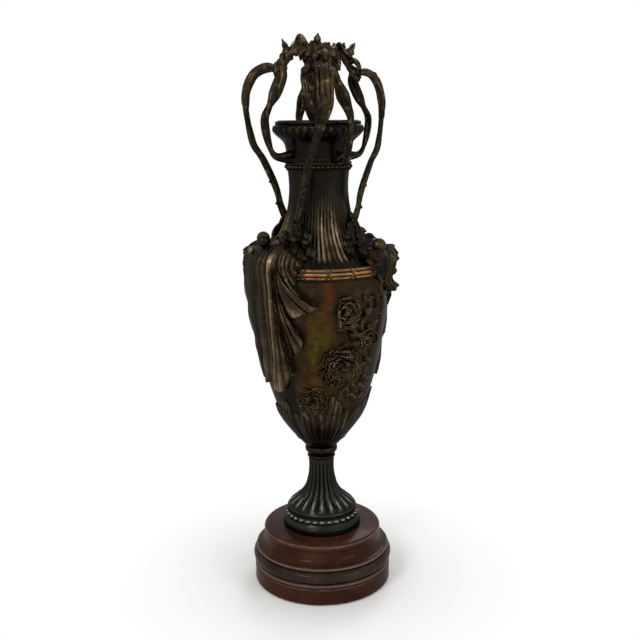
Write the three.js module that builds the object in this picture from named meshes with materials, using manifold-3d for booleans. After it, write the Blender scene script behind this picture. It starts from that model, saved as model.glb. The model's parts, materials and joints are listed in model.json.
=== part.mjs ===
// Bronze vase urn on a turned base, with four stem handles that meet in a leaf crown.
// Millimetres, +Z up. The origin is the middle of the underside, and the front faces -Y.
// An azimuth is in degrees: 0 is the front, 90 is the right side (+X).
import * as THREE from "three";
import { mergeVertices } from "three/addons/utils/BufferGeometryUtils.js";
import Module from "manifold-3d";

const wasm = await Module();
wasm.setup();

// Clearances
const FIT = 0.3;
const SKIN_GAP = 0.5;

// Turned base: pad, plinth, torus and socle
const PAD_H = 1.5;
const PAD_INSET = 3;
const PLINTH_R = 72;
const PLINTH_H = 17;
const PLINTH_EDGE = 1.5;
const TORUS_OVERHANG = 1.3;
const TORUS_H = 28.5;
const TORUS_FILLET_H = 4;
const TORUS_FILLET_INSET = 2.3;
const TORUS_ROLL_H = 15;
const TORUS_ROLL_DEPTH = 3;
const SOCLE_SETBACK = 10.5;
const SOCLE_H = 13.5;
const SOCLE_COVE_DEPTH = 3;
const SOCLE_DISC_H = 6.5;
const SOCLE_EDGE_R = 3;
const TORUS_R = PLINTH_R + TORUS_OVERHANG;
const SOCLE_R = PLINTH_R - SOCLE_SETBACK;

// Foot and knop
const FOOT_WALL = 3;
const FOOT_SEAT_W = 10;
const SKIRT_R = 41;
const SKIRT_H = 11;
const SKIRT_SIDE_H = 5;
const BEAD_RING_SETBACK = 3;
const BEAD_RING_H = 6;
const TRUMPET_SETBACK = 2.5;
const TRUMPET_NECK_R = 12.7;
const TRUMPET_H = 56.5;
const KNOP_SWELL = 2.8;
const KNOP_END_R = 14;
const KNOP_H = 16;
const BEAD_RING_R = SKIRT_R - BEAD_RING_SETBACK;
const TRUMPET_R = BEAD_RING_R - TRUMPET_SETBACK;

// Vase
const WALL = 3;
const BODY_FLOOR_R = 18;
const BODY_FLOOR_H = 8;
const BODY_LOW_R = 44;
const BODY_BELLY_R = 59;
const BODY_H = 183;
const BAND_R = 70.5;
const BAND_H = 11;
const BAND_SEAT = 8;
const BAND_EDGE = 2;
const BODY_BELOW_BAND = 1.5;
const SHOULDER_BELOW_BAND = 4.5;
const BODY_TOP_R = BAND_R - BODY_BELOW_BAND;
const SHOULDER_R = BAND_R - SHOULDER_BELOW_BAND;
const NECK_R = 29.3;
const SHOULDER_H = 88;
const COLLAR_R = 33.5;
const COLLAR_H = 8;
const LIP_NECK_R = 31.5;
const LIP_R = 44.7;
const LIP_H = 40;
const LIP_ROLL = 10;
const LIP_ROLL_W = 7.5;
const COLLAR_EDGE = 1.5;
const COLLAR_SEAT = 1.2;

// Ornament on the vase
const ACANTHUS_AZIMUTH = -48;
const ACANTHUS_FOOT_RISE = 66;
const ACANTHUS_HANG = 21;
const ACANTHUS_SIDE_DROP = 14;
const ACANTHUS_LOW_RELIEF = 3.2;
const ACANTHUS_RELIEF = 6;
const ACANTHUS_RIB = 1.6;
const ACANTHUS_ROWS = 12;
const STRAND_FALL = 1.4;
const STRAND_SWEEP = 3;
const SCROLL_AZIMUTH = 68;
const SCROLL_RELIEF = 8.5;
const SCROLL_HALF_TURN = 22;
const SCROLL_OVER_BAND = 18;
const SCROLL_UNDER_BAND = 19;
const PANEL_LEFT = -22;
const PANEL_RIGHT = 62;
const PANEL_MARGIN = 5;
const PANEL_UNDER_BAND = 6;
const PANEL_PLATE = 1.6;
const PANEL_BLOOM = 3.5;
const BLOOM_AZIMUTH = 16;
const BLOOM_UNDER_BAND = 29;
const BLOOM_R = 16;
const RUFFLED_AZIMUTH = 18;
const RUFFLED_UNDER_BAND = 84;
const RUFFLED_R = 19;
const BUD_AZIMUTH = 42;
const BUD_UNDER_BAND = 58;
const BUD_R = 12;
const CALYX_LEAVES = 8;
const CALYX_RISE = 4;
const CALYX_H = 62;
const CALYX_NOTCH = 22;
const CALYX_THICK = 2.6;

// Handles and crown
const HANDLES = { front: 5, right: 95, back: 185, left: 275 };
const STEM_R = 4.2;
const STEM_SIDES = 8;
const OUTER_STEPS = 18;
const INNER_STEPS = 12;
const SHOOT_STEPS = 10;
const HANDLE_RISE = 44.5;
const ARM_R = 38;
const BULGE_R = 67.3;
const BULGE_DROP = 34.5;
const FOOT_RISE = 38;
const FOOT_TURN = -35;
const ELBOW_R = 57;
const ELBOW_TURN = 23;
const SHOOT_R = 2.8;
const SHOOT_TURN = -17;
const SHOOT_LENGTH = 42;
const HUB_R = 12;
const HUB_RISE = 16;
const CROWN_LEAF_TIP_R = 33;
const CROWN_LEAF_RISE = 34.5;
const CROWN_LEAF_W = 15;
const CROWN_LEAF_THICK = 2.4;
const ROSETTE_THICK = 3.2;
const ROSETTE_HALF_W = 9;
const ROSETTE_HALF_H = 13;
const ROSETTE_DROP = 6;
const STEM_SINK = 2;
const STEM_FOOT_DROP = 9;

// Tie rod, nuts, washers and handle screws
const ROD_R = 4;
const ROD_PLAY = 0.5;
const ROD_BELOW_NUT = 2;
const ROD_ABOVE_NUT = 5;
const NUT_R = 7.5;
const NUT_H = 6.5;
const WASHER_R = 12;
const WASHER_H = 1.8;
const COUNTERBORE_R = 15;
const COUNTERBORE_H = 11;
const SCREW_R = 2;
const SCREW_HEAD_R = 3.8;
const SCREW_HEAD_H = 2.5;
const SCREW_BITE = 5.5;

// Facets round a turned piece
const SEGMENTS = 32;
const SMALL_SEGMENTS = 16;

// Heights of the stacked pieces
const Z_PLINTH = PAD_H;
const Z_TORUS = Z_PLINTH + PLINTH_H;
const Z_SOCLE = Z_TORUS + TORUS_H;
const Z_FOOT = Z_SOCLE + SOCLE_H;
const Z_BEADS = Z_FOOT + SKIRT_H;
const Z_TRUMPET = Z_BEADS + BEAD_RING_H;
const Z_KNOP = Z_TRUMPET + TRUMPET_H;
const Z_BODY = Z_KNOP + KNOP_H;
const Z_BAND = Z_BODY + BODY_H;
const Z_SHOULDER = Z_BAND + BAND_H;
const Z_COLLAR = Z_SHOULDER + SHOULDER_H;
const Z_LIP = Z_COLLAR + COLLAR_H;
const Z_RIM = Z_LIP + LIP_H;
const Z_JUNCTION = Z_RIM + HANDLE_RISE;
const Z_BODY_FLOOR = Z_BODY + BODY_FLOOR_H;

const bronze = { color: 0x4a3a28, roughness: 0.45, metalness: 0.9 };
const copper = { color: 0x9a5f35, roughness: 0.4, metalness: 0.95 };
const mahogany = { color: 0x4b1d14, roughness: 0.35, metalness: 0 };
const ebonised = { color: 0x1c1f1a, roughness: 0.35, metalness: 0 };
const enamelled = { color: 0x8a6a2c, roughness: 0.5, metalness: 0.5 };
const felt = { color: 0x2a3a2c, roughness: 0.95, metalness: 0 };
const steel = { color: 0x8c8f92, roughness: 0.4, metalness: 0.9 };

const radians = THREE.MathUtils.degToRad;
const lerp = THREE.MathUtils.lerp;

// A point at a radius, azimuth and height
function polar(radius, azimuth, z) {
  const a = radians(azimuth);
  return new THREE.Vector3(radius * Math.sin(a), -radius * Math.cos(a), z);
}

// Points of a smooth profile through a few [radius, height] pairs
function smooth(pairs, steps) {
  const curve = new THREE.SplineCurve(pairs.map(([r, z]) => new THREE.Vector2(r, z)));
  return curve.getPoints(steps).map((p) => [p.x, p.y]);
}

// Radius of a profile at a height, or the first column of any table at a value of its rising second column
function radiusAt(profile, z) {
  const last = profile.length - 1;
  if (z <= profile[0][1]) return profile[0][0];
  if (z >= profile[last][1]) return profile[last][0];
  const k = profile.findIndex((p) => p[1] > z);
  const [r0, z0] = profile[k - 1];
  const [r1, z1] = profile[k];
  return lerp(r0, r1, (z - z0) / (z1 - z0));
}

// A value between rows of a short table whose first column rises
function rowAt(rows, z, column) {
  return radiusAt(rows.map((row) => [row[column], row[0]]), z);
}

// A closed profile turned about the Z axis
function turned(pairs, segments = SEGMENTS) {
  const ring = pairs.map(([r, z]) => new THREE.Vector2(r, z));
  ring.push(ring[0].clone());
  if (THREE.ShapeUtils.area(ring) < 0) ring.reverse();
  const geometry = new THREE.LatheGeometry(ring, segments);
  geometry.rotateX(Math.PI / 2);
  return geometry;
}

// A disc or ring between two heights
function washer(inner, outer, z0, z1, segments = SMALL_SEGMENTS) {
  return turned([[inner, z0], [outer, z0], [outer, z1], [inner, z1]], segments);
}

// A geometry as a solid for joining and cutting
function solid(geometry) {
  const bare = geometry.clone();
  bare.deleteAttribute("normal");
  bare.deleteAttribute("uv");
  const merged = mergeVertices(bare, 1e-4);
  const kept = [];
  const index = merged.index.array;
  for (let i = 0; i < index.length; i += 3) {
    const [a, b, c] = [index[i], index[i + 1], index[i + 2]];
    if (a !== b && b !== c && c !== a) kept.push(a, b, c);
  }
  return new wasm.Manifold(new wasm.Mesh({
    numProp: 3,
    vertProperties: merged.attributes.position.array,
    triVerts: new Uint32Array(kept),
  }));
}

// A solid back as a geometry, keeping its largest body
function shaped(made) {
  const bodies = made.decompose().sort((a, b) => b.volume() - a.volume());
  const mesh = bodies[0].getMesh();
  const geometry = new THREE.BufferGeometry();
  geometry.setAttribute("position", new THREE.BufferAttribute(new Float32Array(mesh.vertProperties), 3));
  geometry.setIndex(new THREE.BufferAttribute(new Uint32Array(mesh.triVerts), 1));
  geometry.computeVertexNormals();
  return geometry;
}

// A closed shell on a grid. place(u, v, side) gives the point, side 0 inside and 1 outside.
function shellPatch(columns, rows, place, ring = false) {
  const across = ring ? columns : columns + 1;
  const positions = [];
  for (const side of [0, 1])
    for (let j = 0; j <= rows; j++)
      for (let i = 0; i < across; i++) positions.push(...place(i / columns, j / rows, side).toArray());
  const id = (side, i, j) => (side * (rows + 1) + j) * across + (i % across);
  const index = [];
  const quad = (a, b, c, d) => index.push(a, b, c, a, c, d);
  for (let j = 0; j < rows; j++)
    for (let i = 0; i < columns; i++) {
      quad(id(1, i, j), id(1, i + 1, j), id(1, i + 1, j + 1), id(1, i, j + 1));
      quad(id(0, i, j), id(0, i, j + 1), id(0, i + 1, j + 1), id(0, i + 1, j));
    }
  for (let i = 0; i < columns; i++) {
    quad(id(0, i, 0), id(0, i + 1, 0), id(1, i + 1, 0), id(1, i, 0));
    quad(id(0, i + 1, rows), id(0, i, rows), id(1, i, rows), id(1, i + 1, rows));
  }
  for (let j = 0; j < rows && !ring; j++) {
    quad(id(0, 0, j + 1), id(0, 0, j), id(1, 0, j), id(1, 0, j + 1));
    quad(id(0, columns, j), id(0, columns, j + 1), id(1, columns, j + 1), id(1, columns, j));
  }
  const geometry = new THREE.BufferGeometry();
  geometry.setAttribute("position", new THREE.Float32BufferAttribute(positions, 3));
  geometry.setIndex(index);
  geometry.computeVertexNormals();
  return geometry;
}

// A round bar along a path of points
function bar(points, radius, steps) {
  const section = new THREE.Shape();
  for (let k = 0; k < STEM_SIDES; k++) {
    const a = (2 * Math.PI * k) / STEM_SIDES;
    section[k ? "lineTo" : "moveTo"](radius * Math.cos(a), radius * Math.sin(a));
  }
  section.closePath();
  const extrudePath = new THREE.CatmullRomCurve3(points, false, "centripetal");
  return new THREE.ExtrudeGeometry(section, { steps, bevelEnabled: false, extrudePath });
}

// A round bar lying along the radius at an azimuth and height
function radialPin(radius, r0, r1, azimuth, z) {
  const pin = new THREE.CylinderGeometry(radius, radius, r1 - r0, SMALL_SEGMENTS / 2);
  pin.translate(0, -(r0 + r1) / 2, 0);
  pin.rotateZ(radians(azimuth));
  pin.translate(0, 0, z);
  return pin;
}

const urn = new THREE.Group();

// Adds a named mesh to a group
function add(group, name, geometry, finish) {
  const mesh = new THREE.Mesh(geometry, new THREE.MeshStandardMaterial(finish));
  mesh.name = name;
  group.add(mesh);
  return mesh;
}

// Turned base
const base = new THREE.Group();
urn.add(base);
const rodBore = ROD_R + ROD_PLAY;
const zCounterbore = Z_PLINTH + COUNTERBORE_H;

add(base, "felt_pad", washer(COUNTERBORE_R, PLINTH_R - PAD_INSET, 0, PAD_H, SEGMENTS), felt);

add(base, "base_plinth", turned([
  [COUNTERBORE_R, Z_PLINTH],
  [PLINTH_R - PLINTH_EDGE, Z_PLINTH],
  [PLINTH_R, Z_PLINTH + PLINTH_EDGE],
  [PLINTH_R, Z_TORUS - PLINTH_EDGE],
  [PLINTH_R - PLINTH_EDGE, Z_TORUS],
  [rodBore, Z_TORUS],
  [rodBore, zCounterbore],
  [COUNTERBORE_R, zCounterbore],
]), mahogany);

// A fillet, a half round roll and a slope up to the socle
function torusProfile() {
  const low = Z_TORUS + TORUS_FILLET_H;
  const halfRoll = TORUS_ROLL_H / 2;
  const filletR = TORUS_R - TORUS_FILLET_INSET;
  const points = [[rodBore, Z_TORUS], [filletR, Z_TORUS], [filletR, low - 1]];
  const steps = 6;
  for (let k = 0; k <= steps; k++) {
    const a = Math.PI * (k / steps - 0.5);
    points.push([TORUS_R - TORUS_ROLL_DEPTH * (1 - Math.cos(a)), low + halfRoll * (1 + Math.sin(a))]);
  }
  const rollTop = low + TORUS_ROLL_H;
  const rollTopR = TORUS_R - TORUS_ROLL_DEPTH;
  points.push([lerp(rollTopR, SOCLE_R, 0.12), lerp(rollTop, Z_SOCLE, 0.38)]);
  points.push([lerp(rollTopR, SOCLE_R, 0.5), lerp(rollTop, Z_SOCLE, 0.75)]);
  points.push([SOCLE_R, Z_SOCLE], [rodBore, Z_SOCLE]);
  return points;
}
add(base, "base_torus", turned(torusProfile()), ebonised);

function socleProfile() {
  const zDisc = Z_FOOT - SOCLE_DISC_H;
  const coveR = SOCLE_R - SOCLE_COVE_DEPTH;
  const points = [[rodBore, Z_SOCLE], [lerp(coveR, SOCLE_R, 0.5), Z_SOCLE]];
  points.push([coveR, lerp(Z_SOCLE, zDisc, 0.35)], [coveR, lerp(Z_SOCLE, zDisc, 0.85)]);
  points.push([SOCLE_R, zDisc], [SOCLE_R, Z_FOOT - SOCLE_EDGE_R]);
  const steps = 4;
  for (let k = 1; k <= steps; k++) {
    const a = (Math.PI / 2) * (k / steps);
    const inward = SOCLE_EDGE_R * (1 - Math.cos(a));
    points.push([SOCLE_R - inward, Z_FOOT - SOCLE_EDGE_R * (1 - Math.sin(a))]);
  }
  points.push([rodBore, Z_FOOT]);
  return points;
}
add(base, "base_socle", turned(socleProfile()), mahogany);

// Foot: skirt, bead ring, fluted trumpet and knop
const foot = new THREE.Group();
urn.add(foot);

add(foot, "foot_skirt", turned([
  [SKIRT_R - FOOT_WALL, Z_FOOT],
  [SKIRT_R, Z_FOOT],
  [SKIRT_R, Z_FOOT + SKIRT_SIDE_H],
  [BEAD_RING_R, Z_BEADS],
  [BEAD_RING_R - FOOT_SEAT_W, Z_BEADS],
  [BEAD_RING_R - FOOT_SEAT_W, Z_BEADS - FOOT_WALL],
  [BEAD_RING_R - FOOT_WALL, Z_BEADS - FOOT_WALL],
]), bronze);

add(foot, "foot_bead_ring", turned([
  [BEAD_RING_R - FOOT_SEAT_W, Z_BEADS],
  [BEAD_RING_R - 1.5, Z_BEADS],
  [BEAD_RING_R, Z_BEADS + BEAD_RING_H * 0.4],
  [BEAD_RING_R - 0.7, Z_BEADS + BEAD_RING_H * 0.8],
  [TRUMPET_R + 0.5, Z_TRUMPET],
  [BEAD_RING_R - FOOT_SEAT_W, Z_TRUMPET],
]), bronze);

// A bell that narrows to a neck; each row is a share of the flare and a share of the height
const trumpetRows = [[1, 0], [0.99, 0.05], [0.89, 0.13], [0.63, 0.21], [0.38, 0.315], [0.19, 0.435]];
trumpetRows.push([0.095, 0.56], [0.03, 0.67], [0, 0.82], [0.02, 1]);
const trumpetOuter = smooth(
  trumpetRows.map(([flare, rise]) => [lerp(TRUMPET_NECK_R, TRUMPET_R, flare), Z_TRUMPET + TRUMPET_H * rise]),
  10,
);
const trumpetInner = trumpetOuter.map(([r, z]) => [r - FOOT_WALL, z]).reverse();
add(foot, "foot_trumpet", turned([...trumpetOuter, ...trumpetInner], SMALL_SEGMENTS * 1.5), bronze);

const knopR = KNOP_END_R + KNOP_SWELL;
add(foot, "knop", turned([
  [rodBore, Z_KNOP],
  [KNOP_END_R, Z_KNOP],
  [knopR - 0.8, Z_KNOP + KNOP_H * 0.28],
  [knopR, Z_KNOP + KNOP_H * 0.5],
  [knopR - 0.8, Z_KNOP + KNOP_H * 0.72],
  [KNOP_END_R, Z_BODY],
  [rodBore, Z_BODY],
]), bronze);

// Vase: body, band, shoulder, collar and lip
const vase = new THREE.Group();
urn.add(vase);

const bodyOuter = smooth([
  [BODY_FLOOR_R, Z_BODY],
  [lerp(BODY_FLOOR_R, BODY_LOW_R, 0.55), Z_BODY + BODY_H * 0.105],
  [BODY_LOW_R, Z_BODY + BODY_H * 0.213],
  [lerp(BODY_LOW_R, BODY_BELLY_R, 0.58), Z_BODY + BODY_H * 0.36],
  [BODY_BELLY_R, Z_BODY + BODY_H * 0.49],
  [lerp(BODY_BELLY_R, BODY_TOP_R, 0.72), Z_BODY + BODY_H * 0.71],
  [BODY_TOP_R, Z_BODY + BODY_H * 0.92],
  [BODY_TOP_R, Z_BAND],
], 8);
const bodyInner = bodyOuter
  .filter(([, z]) => z > Z_BODY_FLOOR + WALL)
  .map(([r, z]) => [r - WALL, z])
  .reverse();
const floorR = radiusAt(bodyOuter, Z_BODY_FLOOR) - WALL - 1;
add(vase, "body_shell", turned([
  [rodBore, Z_BODY],
  ...bodyOuter,
  ...bodyInner,
  [floorR, Z_BODY_FLOOR],
  [rodBore, Z_BODY_FLOOR],
]), bronze);

add(vase, "reed_band", turned([
  [BAND_R - BAND_SEAT, Z_BAND],
  [BAND_R - BAND_EDGE, Z_BAND],
  [BAND_R, Z_BAND + BAND_H * 0.3],
  [BAND_R, Z_BAND + BAND_H * 0.7],
  [BAND_R - BAND_EDGE, Z_SHOULDER],
  [BAND_R - BAND_SEAT, Z_SHOULDER],
]), copper);

const shoulderOuter = smooth([
  [SHOULDER_R, Z_SHOULDER],
  [lerp(NECK_R, SHOULDER_R, 0.66), Z_SHOULDER + SHOULDER_H * 0.125],
  [lerp(NECK_R, SHOULDER_R, 0.36), Z_SHOULDER + SHOULDER_H * 0.26],
  [lerp(NECK_R, SHOULDER_R, 0.15), Z_SHOULDER + SHOULDER_H * 0.43],
  [lerp(NECK_R, SHOULDER_R, 0.03), Z_SHOULDER + SHOULDER_H * 0.64],
  [NECK_R, Z_SHOULDER + SHOULDER_H * 0.84],
  [NECK_R + COLLAR_SEAT, Z_COLLAR],
], 8);
const shoulderInner = shoulderOuter.map(([r, z]) => [r - WALL, z]).reverse();
const zFoot = Z_SHOULDER + FOOT_RISE;
const footSkin = radiusAt(shoulderOuter, zFoot);
const screwEnd = footSkin + SKIN_GAP + SCREW_BITE;
const headFace = footSkin - WALL - 1.8;
let shoulder = solid(turned([...shoulderOuter, ...shoulderInner]));
for (const azimuth of Object.values(HANDLES)) {
  const hole = radialPin(SCREW_R + FIT, headFace - 2, screwEnd + FIT, azimuth + FOOT_TURN, zFoot);
  shoulder = shoulder.subtract(solid(hole));
}
add(vase, "shoulder_shell", shaped(shoulder), bronze);

const collarBore = NECK_R + COLLAR_SEAT - WALL;
add(vase, "beaded_collar", turned([
  [collarBore, Z_COLLAR],
  [COLLAR_R - COLLAR_EDGE, Z_COLLAR],
  [COLLAR_R, Z_COLLAR + COLLAR_H * 0.3],
  [COLLAR_R, Z_COLLAR + COLLAR_H * 0.7],
  [COLLAR_R - COLLAR_EDGE, Z_LIP],
  [collarBore, Z_LIP],
]), bronze);

const lipOuter = smooth([
  [LIP_NECK_R, Z_LIP],
  [LIP_NECK_R + 0.5, Z_LIP + LIP_H * 0.3],
  [lerp(LIP_NECK_R, LIP_R, 0.22), Z_LIP + LIP_H * 0.48],
  [lerp(LIP_NECK_R, LIP_R, 0.7), Z_LIP + LIP_H * 0.63],
  [LIP_R, Z_RIM - LIP_ROLL],
], 8);
const lipInner = lipOuter
  .filter(([, z]) => z < Z_RIM - LIP_ROLL - 1)
  .map(([r, z]) => [r - WALL, z + WALL * ((z - Z_LIP) / LIP_H)])
  .reverse();
add(vase, "lip_neck", turned([
  ...lipOuter,
  [LIP_R - LIP_ROLL_W * 0.08, Z_RIM - LIP_ROLL * 0.6],
  [LIP_R - LIP_ROLL_W * 0.4, Z_RIM - LIP_ROLL * 0.15],
  [LIP_R - LIP_ROLL_W * 0.67, Z_RIM],
  [LIP_R - LIP_ROLL_W, Z_RIM - LIP_ROLL * 0.3],
  ...lipInner,
]), bronze);

// The outside of the vase with a gap, used to fit what lies on it
function vaseSkin(gap) {
  const grown = (profile) => {
    const first = profile[0];
    const last = profile[profile.length - 1];
    const sides = profile.map(([r, z]) => [r + gap, z]);
    return solid(turned([
      [0, first[1] - gap],
      [first[0] + gap, first[1] - gap],
      ...sides,
      [last[0] + gap, last[1] + gap],
      [0, last[1] + gap],
    ]));
  };
  const band = [[BAND_R, Z_BAND], [BAND_R, Z_SHOULDER]];
  const collar = [[COLLAR_R, Z_COLLAR], [COLLAR_R, Z_LIP]];
  return grown(bodyOuter).add(grown(band)).add(grown(shoulderOuter)).add(grown(collar));
}
const skin = vaseSkin(SKIN_GAP);

// The vase's outside radius at a height
function skinRadius(z) {
  if (z < Z_BAND) return radiusAt(bodyOuter, z);
  if (z < Z_SHOULDER) return BAND_R;
  return radiusAt(shoulderOuter, z);
}

// Relief that lies on the vase between two edges, cut to fit the skin.
// outline rows are [height, left azimuth, right azimuth]; relief(u, z) is its height.
function onVase(outline, columns, rows, relief) {
  const z0 = outline[0][0];
  const z1 = outline[outline.length - 1][0];
  const place = (u, v, side) => {
    const z = lerp(z0, z1, v);
    const azimuth = lerp(rowAt(outline, z, 1), rowAt(outline, z, 2), u);
    const r = skinRadius(z) + (side ? relief(u, z) : -2);
    return polar(r, azimuth, z);
  };
  return shaped(solid(shellPatch(columns, rows, place)).subtract(skin));
}

// Large acanthus leaves, front left and back right. The top hangs over the band like cloth, and strands run
// from it down beside the mid-rib and out to the lobes. Going round the edge from the left, a row is the turn
// from the mid-rib, the share of the height, and 1 on the tip of a lobe or 0 in a hollow.
const zAcanthusTip = Z_BODY + ACANTHUS_FOOT_RISE;
const zAcanthusTop = Z_SHOULDER + ACANTHUS_HANG;
const acanthusEdge = [
  [-36, 0.85, 1], [-39, 0.73, 0], [-45, 0.6, 1], [-42, 0.5, 0], [-47, 0.35, 1], [-42, 0.23, 0],
  [-45, 0.11, 1], [-38, 0.035, 1], [-28, 0.075, 0], [-18, 0.035, 1], [-9, 0.07, 0], [2, 0.005, 1],
  [10, 0.02, 1], [17, 0.11, 0], [24, 0.15, 1], [21, 0.255, 0], [33, 0.335, 1], [35, 0.4, 1],
  [22, 0.525, 0], [39, 0.585, 1], [47, 0.63, 1], [33, 0.68, 1], [24, 0.75, 0], [25, 0.82, 0], [30, 0.87, 1],
];
const acanthusRight = acanthusEdge.slice(12).map(([turn, rise]) => [
  ACANTHUS_AZIMUTH + turn, lerp(zAcanthusTip, zAcanthusTop, rise),
]);

// Turn of a strand's start on the top edge, by its share of the way round
const acanthusRoots = [[-34, 0], [-18, 0.3], [-2, 0.48], [8, 0.83], [18, 0.92], [30, 1]];

// Outside of the leaf: the relief on the body at a share of the height, and above it the shares of the
// hang out from the band and up from it
const acanthusLow = [
  [0, ACANTHUS_LOW_RELIEF], [0.13, 0.9 * ACANTHUS_LOW_RELIEF], [0.31, ACANTHUS_LOW_RELIEF],
  [0.48, 0.8 * ACANTHUS_RELIEF], [0.63, ACANTHUS_RELIEF],
];
const acanthusHang = [
  [0.23, -1], [0.27, -0.57], [0.32, -0.1], [0.24, 0.33], [-0.07, 0.7], [-0.5, 0.96], [-1, 1],
];
const acanthusDrape = acanthusLow.map(([rise, relief]) => {
  const z = lerp(zAcanthusTip, zAcanthusTop, rise);
  return [skinRadius(z) + relief, z];
});
for (const [out, up] of acanthusHang)
  acanthusDrape.push([BAND_R + ACANTHUS_HANG * out, Z_SHOULDER + ACANTHUS_HANG * up]);

function acanthusPlace(u, v, side) {
  const [turn, rise, tip] = acanthusEdge[Math.round(u * (acanthusEdge.length - 1))];
  const root = radiusAt(acanthusRoots, u);
  const zRoot = zAcanthusTop - ACANTHUS_SIDE_DROP * (root / acanthusRoots[0][0]) ** 2;
  const down = 1 - v;
  const fall = down ** STRAND_FALL;
  const z = lerp(zRoot, lerp(zAcanthusTip, zAcanthusTop, rise), fall);
  const rib = ACANTHUS_RIB * (2 * tip - 1) * down;
  const r = side ? radiusAt(acanthusDrape, z) + rib : skinRadius(z) - 2;
  return polar(r, ACANTHUS_AZIMUTH + lerp(root, turn, fall ** STRAND_SWEEP), z);
}
const acanthusSheet = solid(shellPatch(acanthusEdge.length - 1, ACANTHUS_ROWS, acanthusPlace));
const acanthus = shaped(acanthusSheet.subtract(skin));

// How far the vase lies behind the band at a height
const behindBand = (z) => (z > Z_SHOULDER ? BAND_R - skinRadius(z) : 0);

// Scroll leaves at the two sides
const zScrollLow = Z_BAND - SCROLL_UNDER_BAND;
const zScrollTop = Z_SHOULDER + SCROLL_OVER_BAND;
const scrollOutline = [
  [zScrollLow, 0.5],
  [lerp(zScrollLow, zScrollTop, 0.25), 0.7],
  [lerp(zScrollLow, zScrollTop, 0.5), 1],
  [lerp(zScrollLow, zScrollTop, 0.85), 1],
  [zScrollTop, 0.5],
].map(([z, w]) => [z, SCROLL_AZIMUTH - w * SCROLL_HALF_TURN, SCROLL_AZIMUTH + w * SCROLL_HALF_TURN]);

function scrollRelief(u, z) {
  const rise = (z - zScrollLow) / (zScrollTop - zScrollLow);
  const curls = 0.65 + 0.35 * Math.cos(4 * Math.PI * (rise - 0.12));
  return SCROLL_RELIEF * curls * (1 - 0.5 * Math.abs(2 * u - 1) ** 2) + behindBand(z) * (1 - 0.4 * rise);
}
const scroll = onVase(scrollOutline, 6, 10, scrollRelief);

// Flower panels between a large leaf and a scroll leaf
const zPanelLow = Z_BODY + CALYX_RISE + CALYX_H + 1;
const zPanelTop = Z_BAND - PANEL_UNDER_BAND;
const scrollEdge = SCROLL_AZIMUTH - SCROLL_HALF_TURN;
const PANEL_ROWS = 20;
const panelOutline = [];
for (let k = 0; k <= PANEL_ROWS; k++) {
  const z = lerp(zPanelLow, zPanelTop, k / PANEL_ROWS);
  const left = Math.max(radiusAt(acanthusRight, z) + PANEL_MARGIN, PANEL_LEFT);
  const right = z > zScrollLow - PANEL_MARGIN ? scrollEdge - PANEL_MARGIN : PANEL_RIGHT;
  panelOutline.push([z, left, right]);
}

// A rounded swelling of a height and reach about a point on the vase, by mm across it
function swelling(azimuth, z, centreAzimuth, centreZ, reach) {
  const across = radians(azimuth - centreAzimuth) * skinRadius(z);
  const d = Math.hypot(across, z - centreZ) / reach;
  return d < 1 ? (1 - d * d) ** 1.5 : 0;
}
function panelRelief(u, z) {
  const azimuth = lerp(rowAt(panelOutline, z, 1), rowAt(panelOutline, z, 2), u);
  const bloom = swelling(azimuth, z, BLOOM_AZIMUTH, Z_BAND - BLOOM_UNDER_BAND, BLOOM_R);
  const ruffled = swelling(azimuth, z, RUFFLED_AZIMUTH, Z_BAND - RUFFLED_UNDER_BAND, RUFFLED_R);
  const bud = swelling(azimuth, z, BUD_AZIMUTH, Z_BAND - BUD_UNDER_BAND, BUD_R);
  return PANEL_PLATE + PANEL_BLOOM * Math.min(1, bloom + ruffled + 0.6 * bud);
}
const panel = onVase(panelOutline, 10, PANEL_ROWS, panelRelief);

// The body ornament repeats after half a turn
for (const [side, turn] of [["front", 0], ["back", 180]]) {
  const half = new THREE.Group();
  half.rotation.z = radians(turn);
  vase.add(half);
  add(half, "acanthus_leaf_" + side, acanthus, bronze);
  add(half, "scroll_leaf_" + side, scroll, copper);
  add(half, "flower_panel_" + side, panel, enamelled);
}

// Calyx: a ring of leaves round the bottom of the body
function calyxPlace(u, v, side) {
  const azimuth = 360 * u;
  const leaf = Math.abs(Math.sin((CALYX_LEAVES / 2) * radians(azimuth)));
  const top = Z_BODY + CALYX_RISE + CALYX_H - CALYX_NOTCH * (1 - leaf);
  const z = lerp(Z_BODY + CALYX_RISE, top, v);
  return polar(skinRadius(z) + (side ? CALYX_THICK * (1 - 0.3 * v) : -2), azimuth, z);
}
const calyx = solid(shellPatch(SEGMENTS, 4, calyxPlace, true)).subtract(skin);
add(vase, "acanthus_calyx", shaped(calyx), bronze);

// Handles: each has an outer stem with a side shoot, and an inner stem.
// The upper rows are shares of the reach and of the drop; the lower rows are shares of the way
// in, of the way down and of the turn.
function outerPath() {
  const high = [[0, 0], [0.32, -0.09], [0.665, 0.04], [0.87, 0.28], [0.97, 0.62], [1, 1]];
  const low = [[0.18, 0.3, 0.23], [0.5, 0.47, 0.43], [0.81, 0.73, 0.71], [0.877, 0.86, 0.86]];
  const footR = footSkin + STEM_R;
  const zBulge = Z_JUNCTION - BULGE_DROP;
  const points = high.map(([f, g]) => polar(lerp(ARM_R, BULGE_R, f), 0, Z_JUNCTION - BULGE_DROP * g));
  for (const [f, g, turn] of low)
    points.push(polar(lerp(BULGE_R, footR, f), FOOT_TURN * turn, lerp(zBulge, zFoot, g)));
  points.push(polar(footR, FOOT_TURN, zFoot + 1));
  points.push(polar(footSkin - STEM_SINK, FOOT_TURN, zFoot - STEM_FOOT_DROP));
  return points;
}

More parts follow.
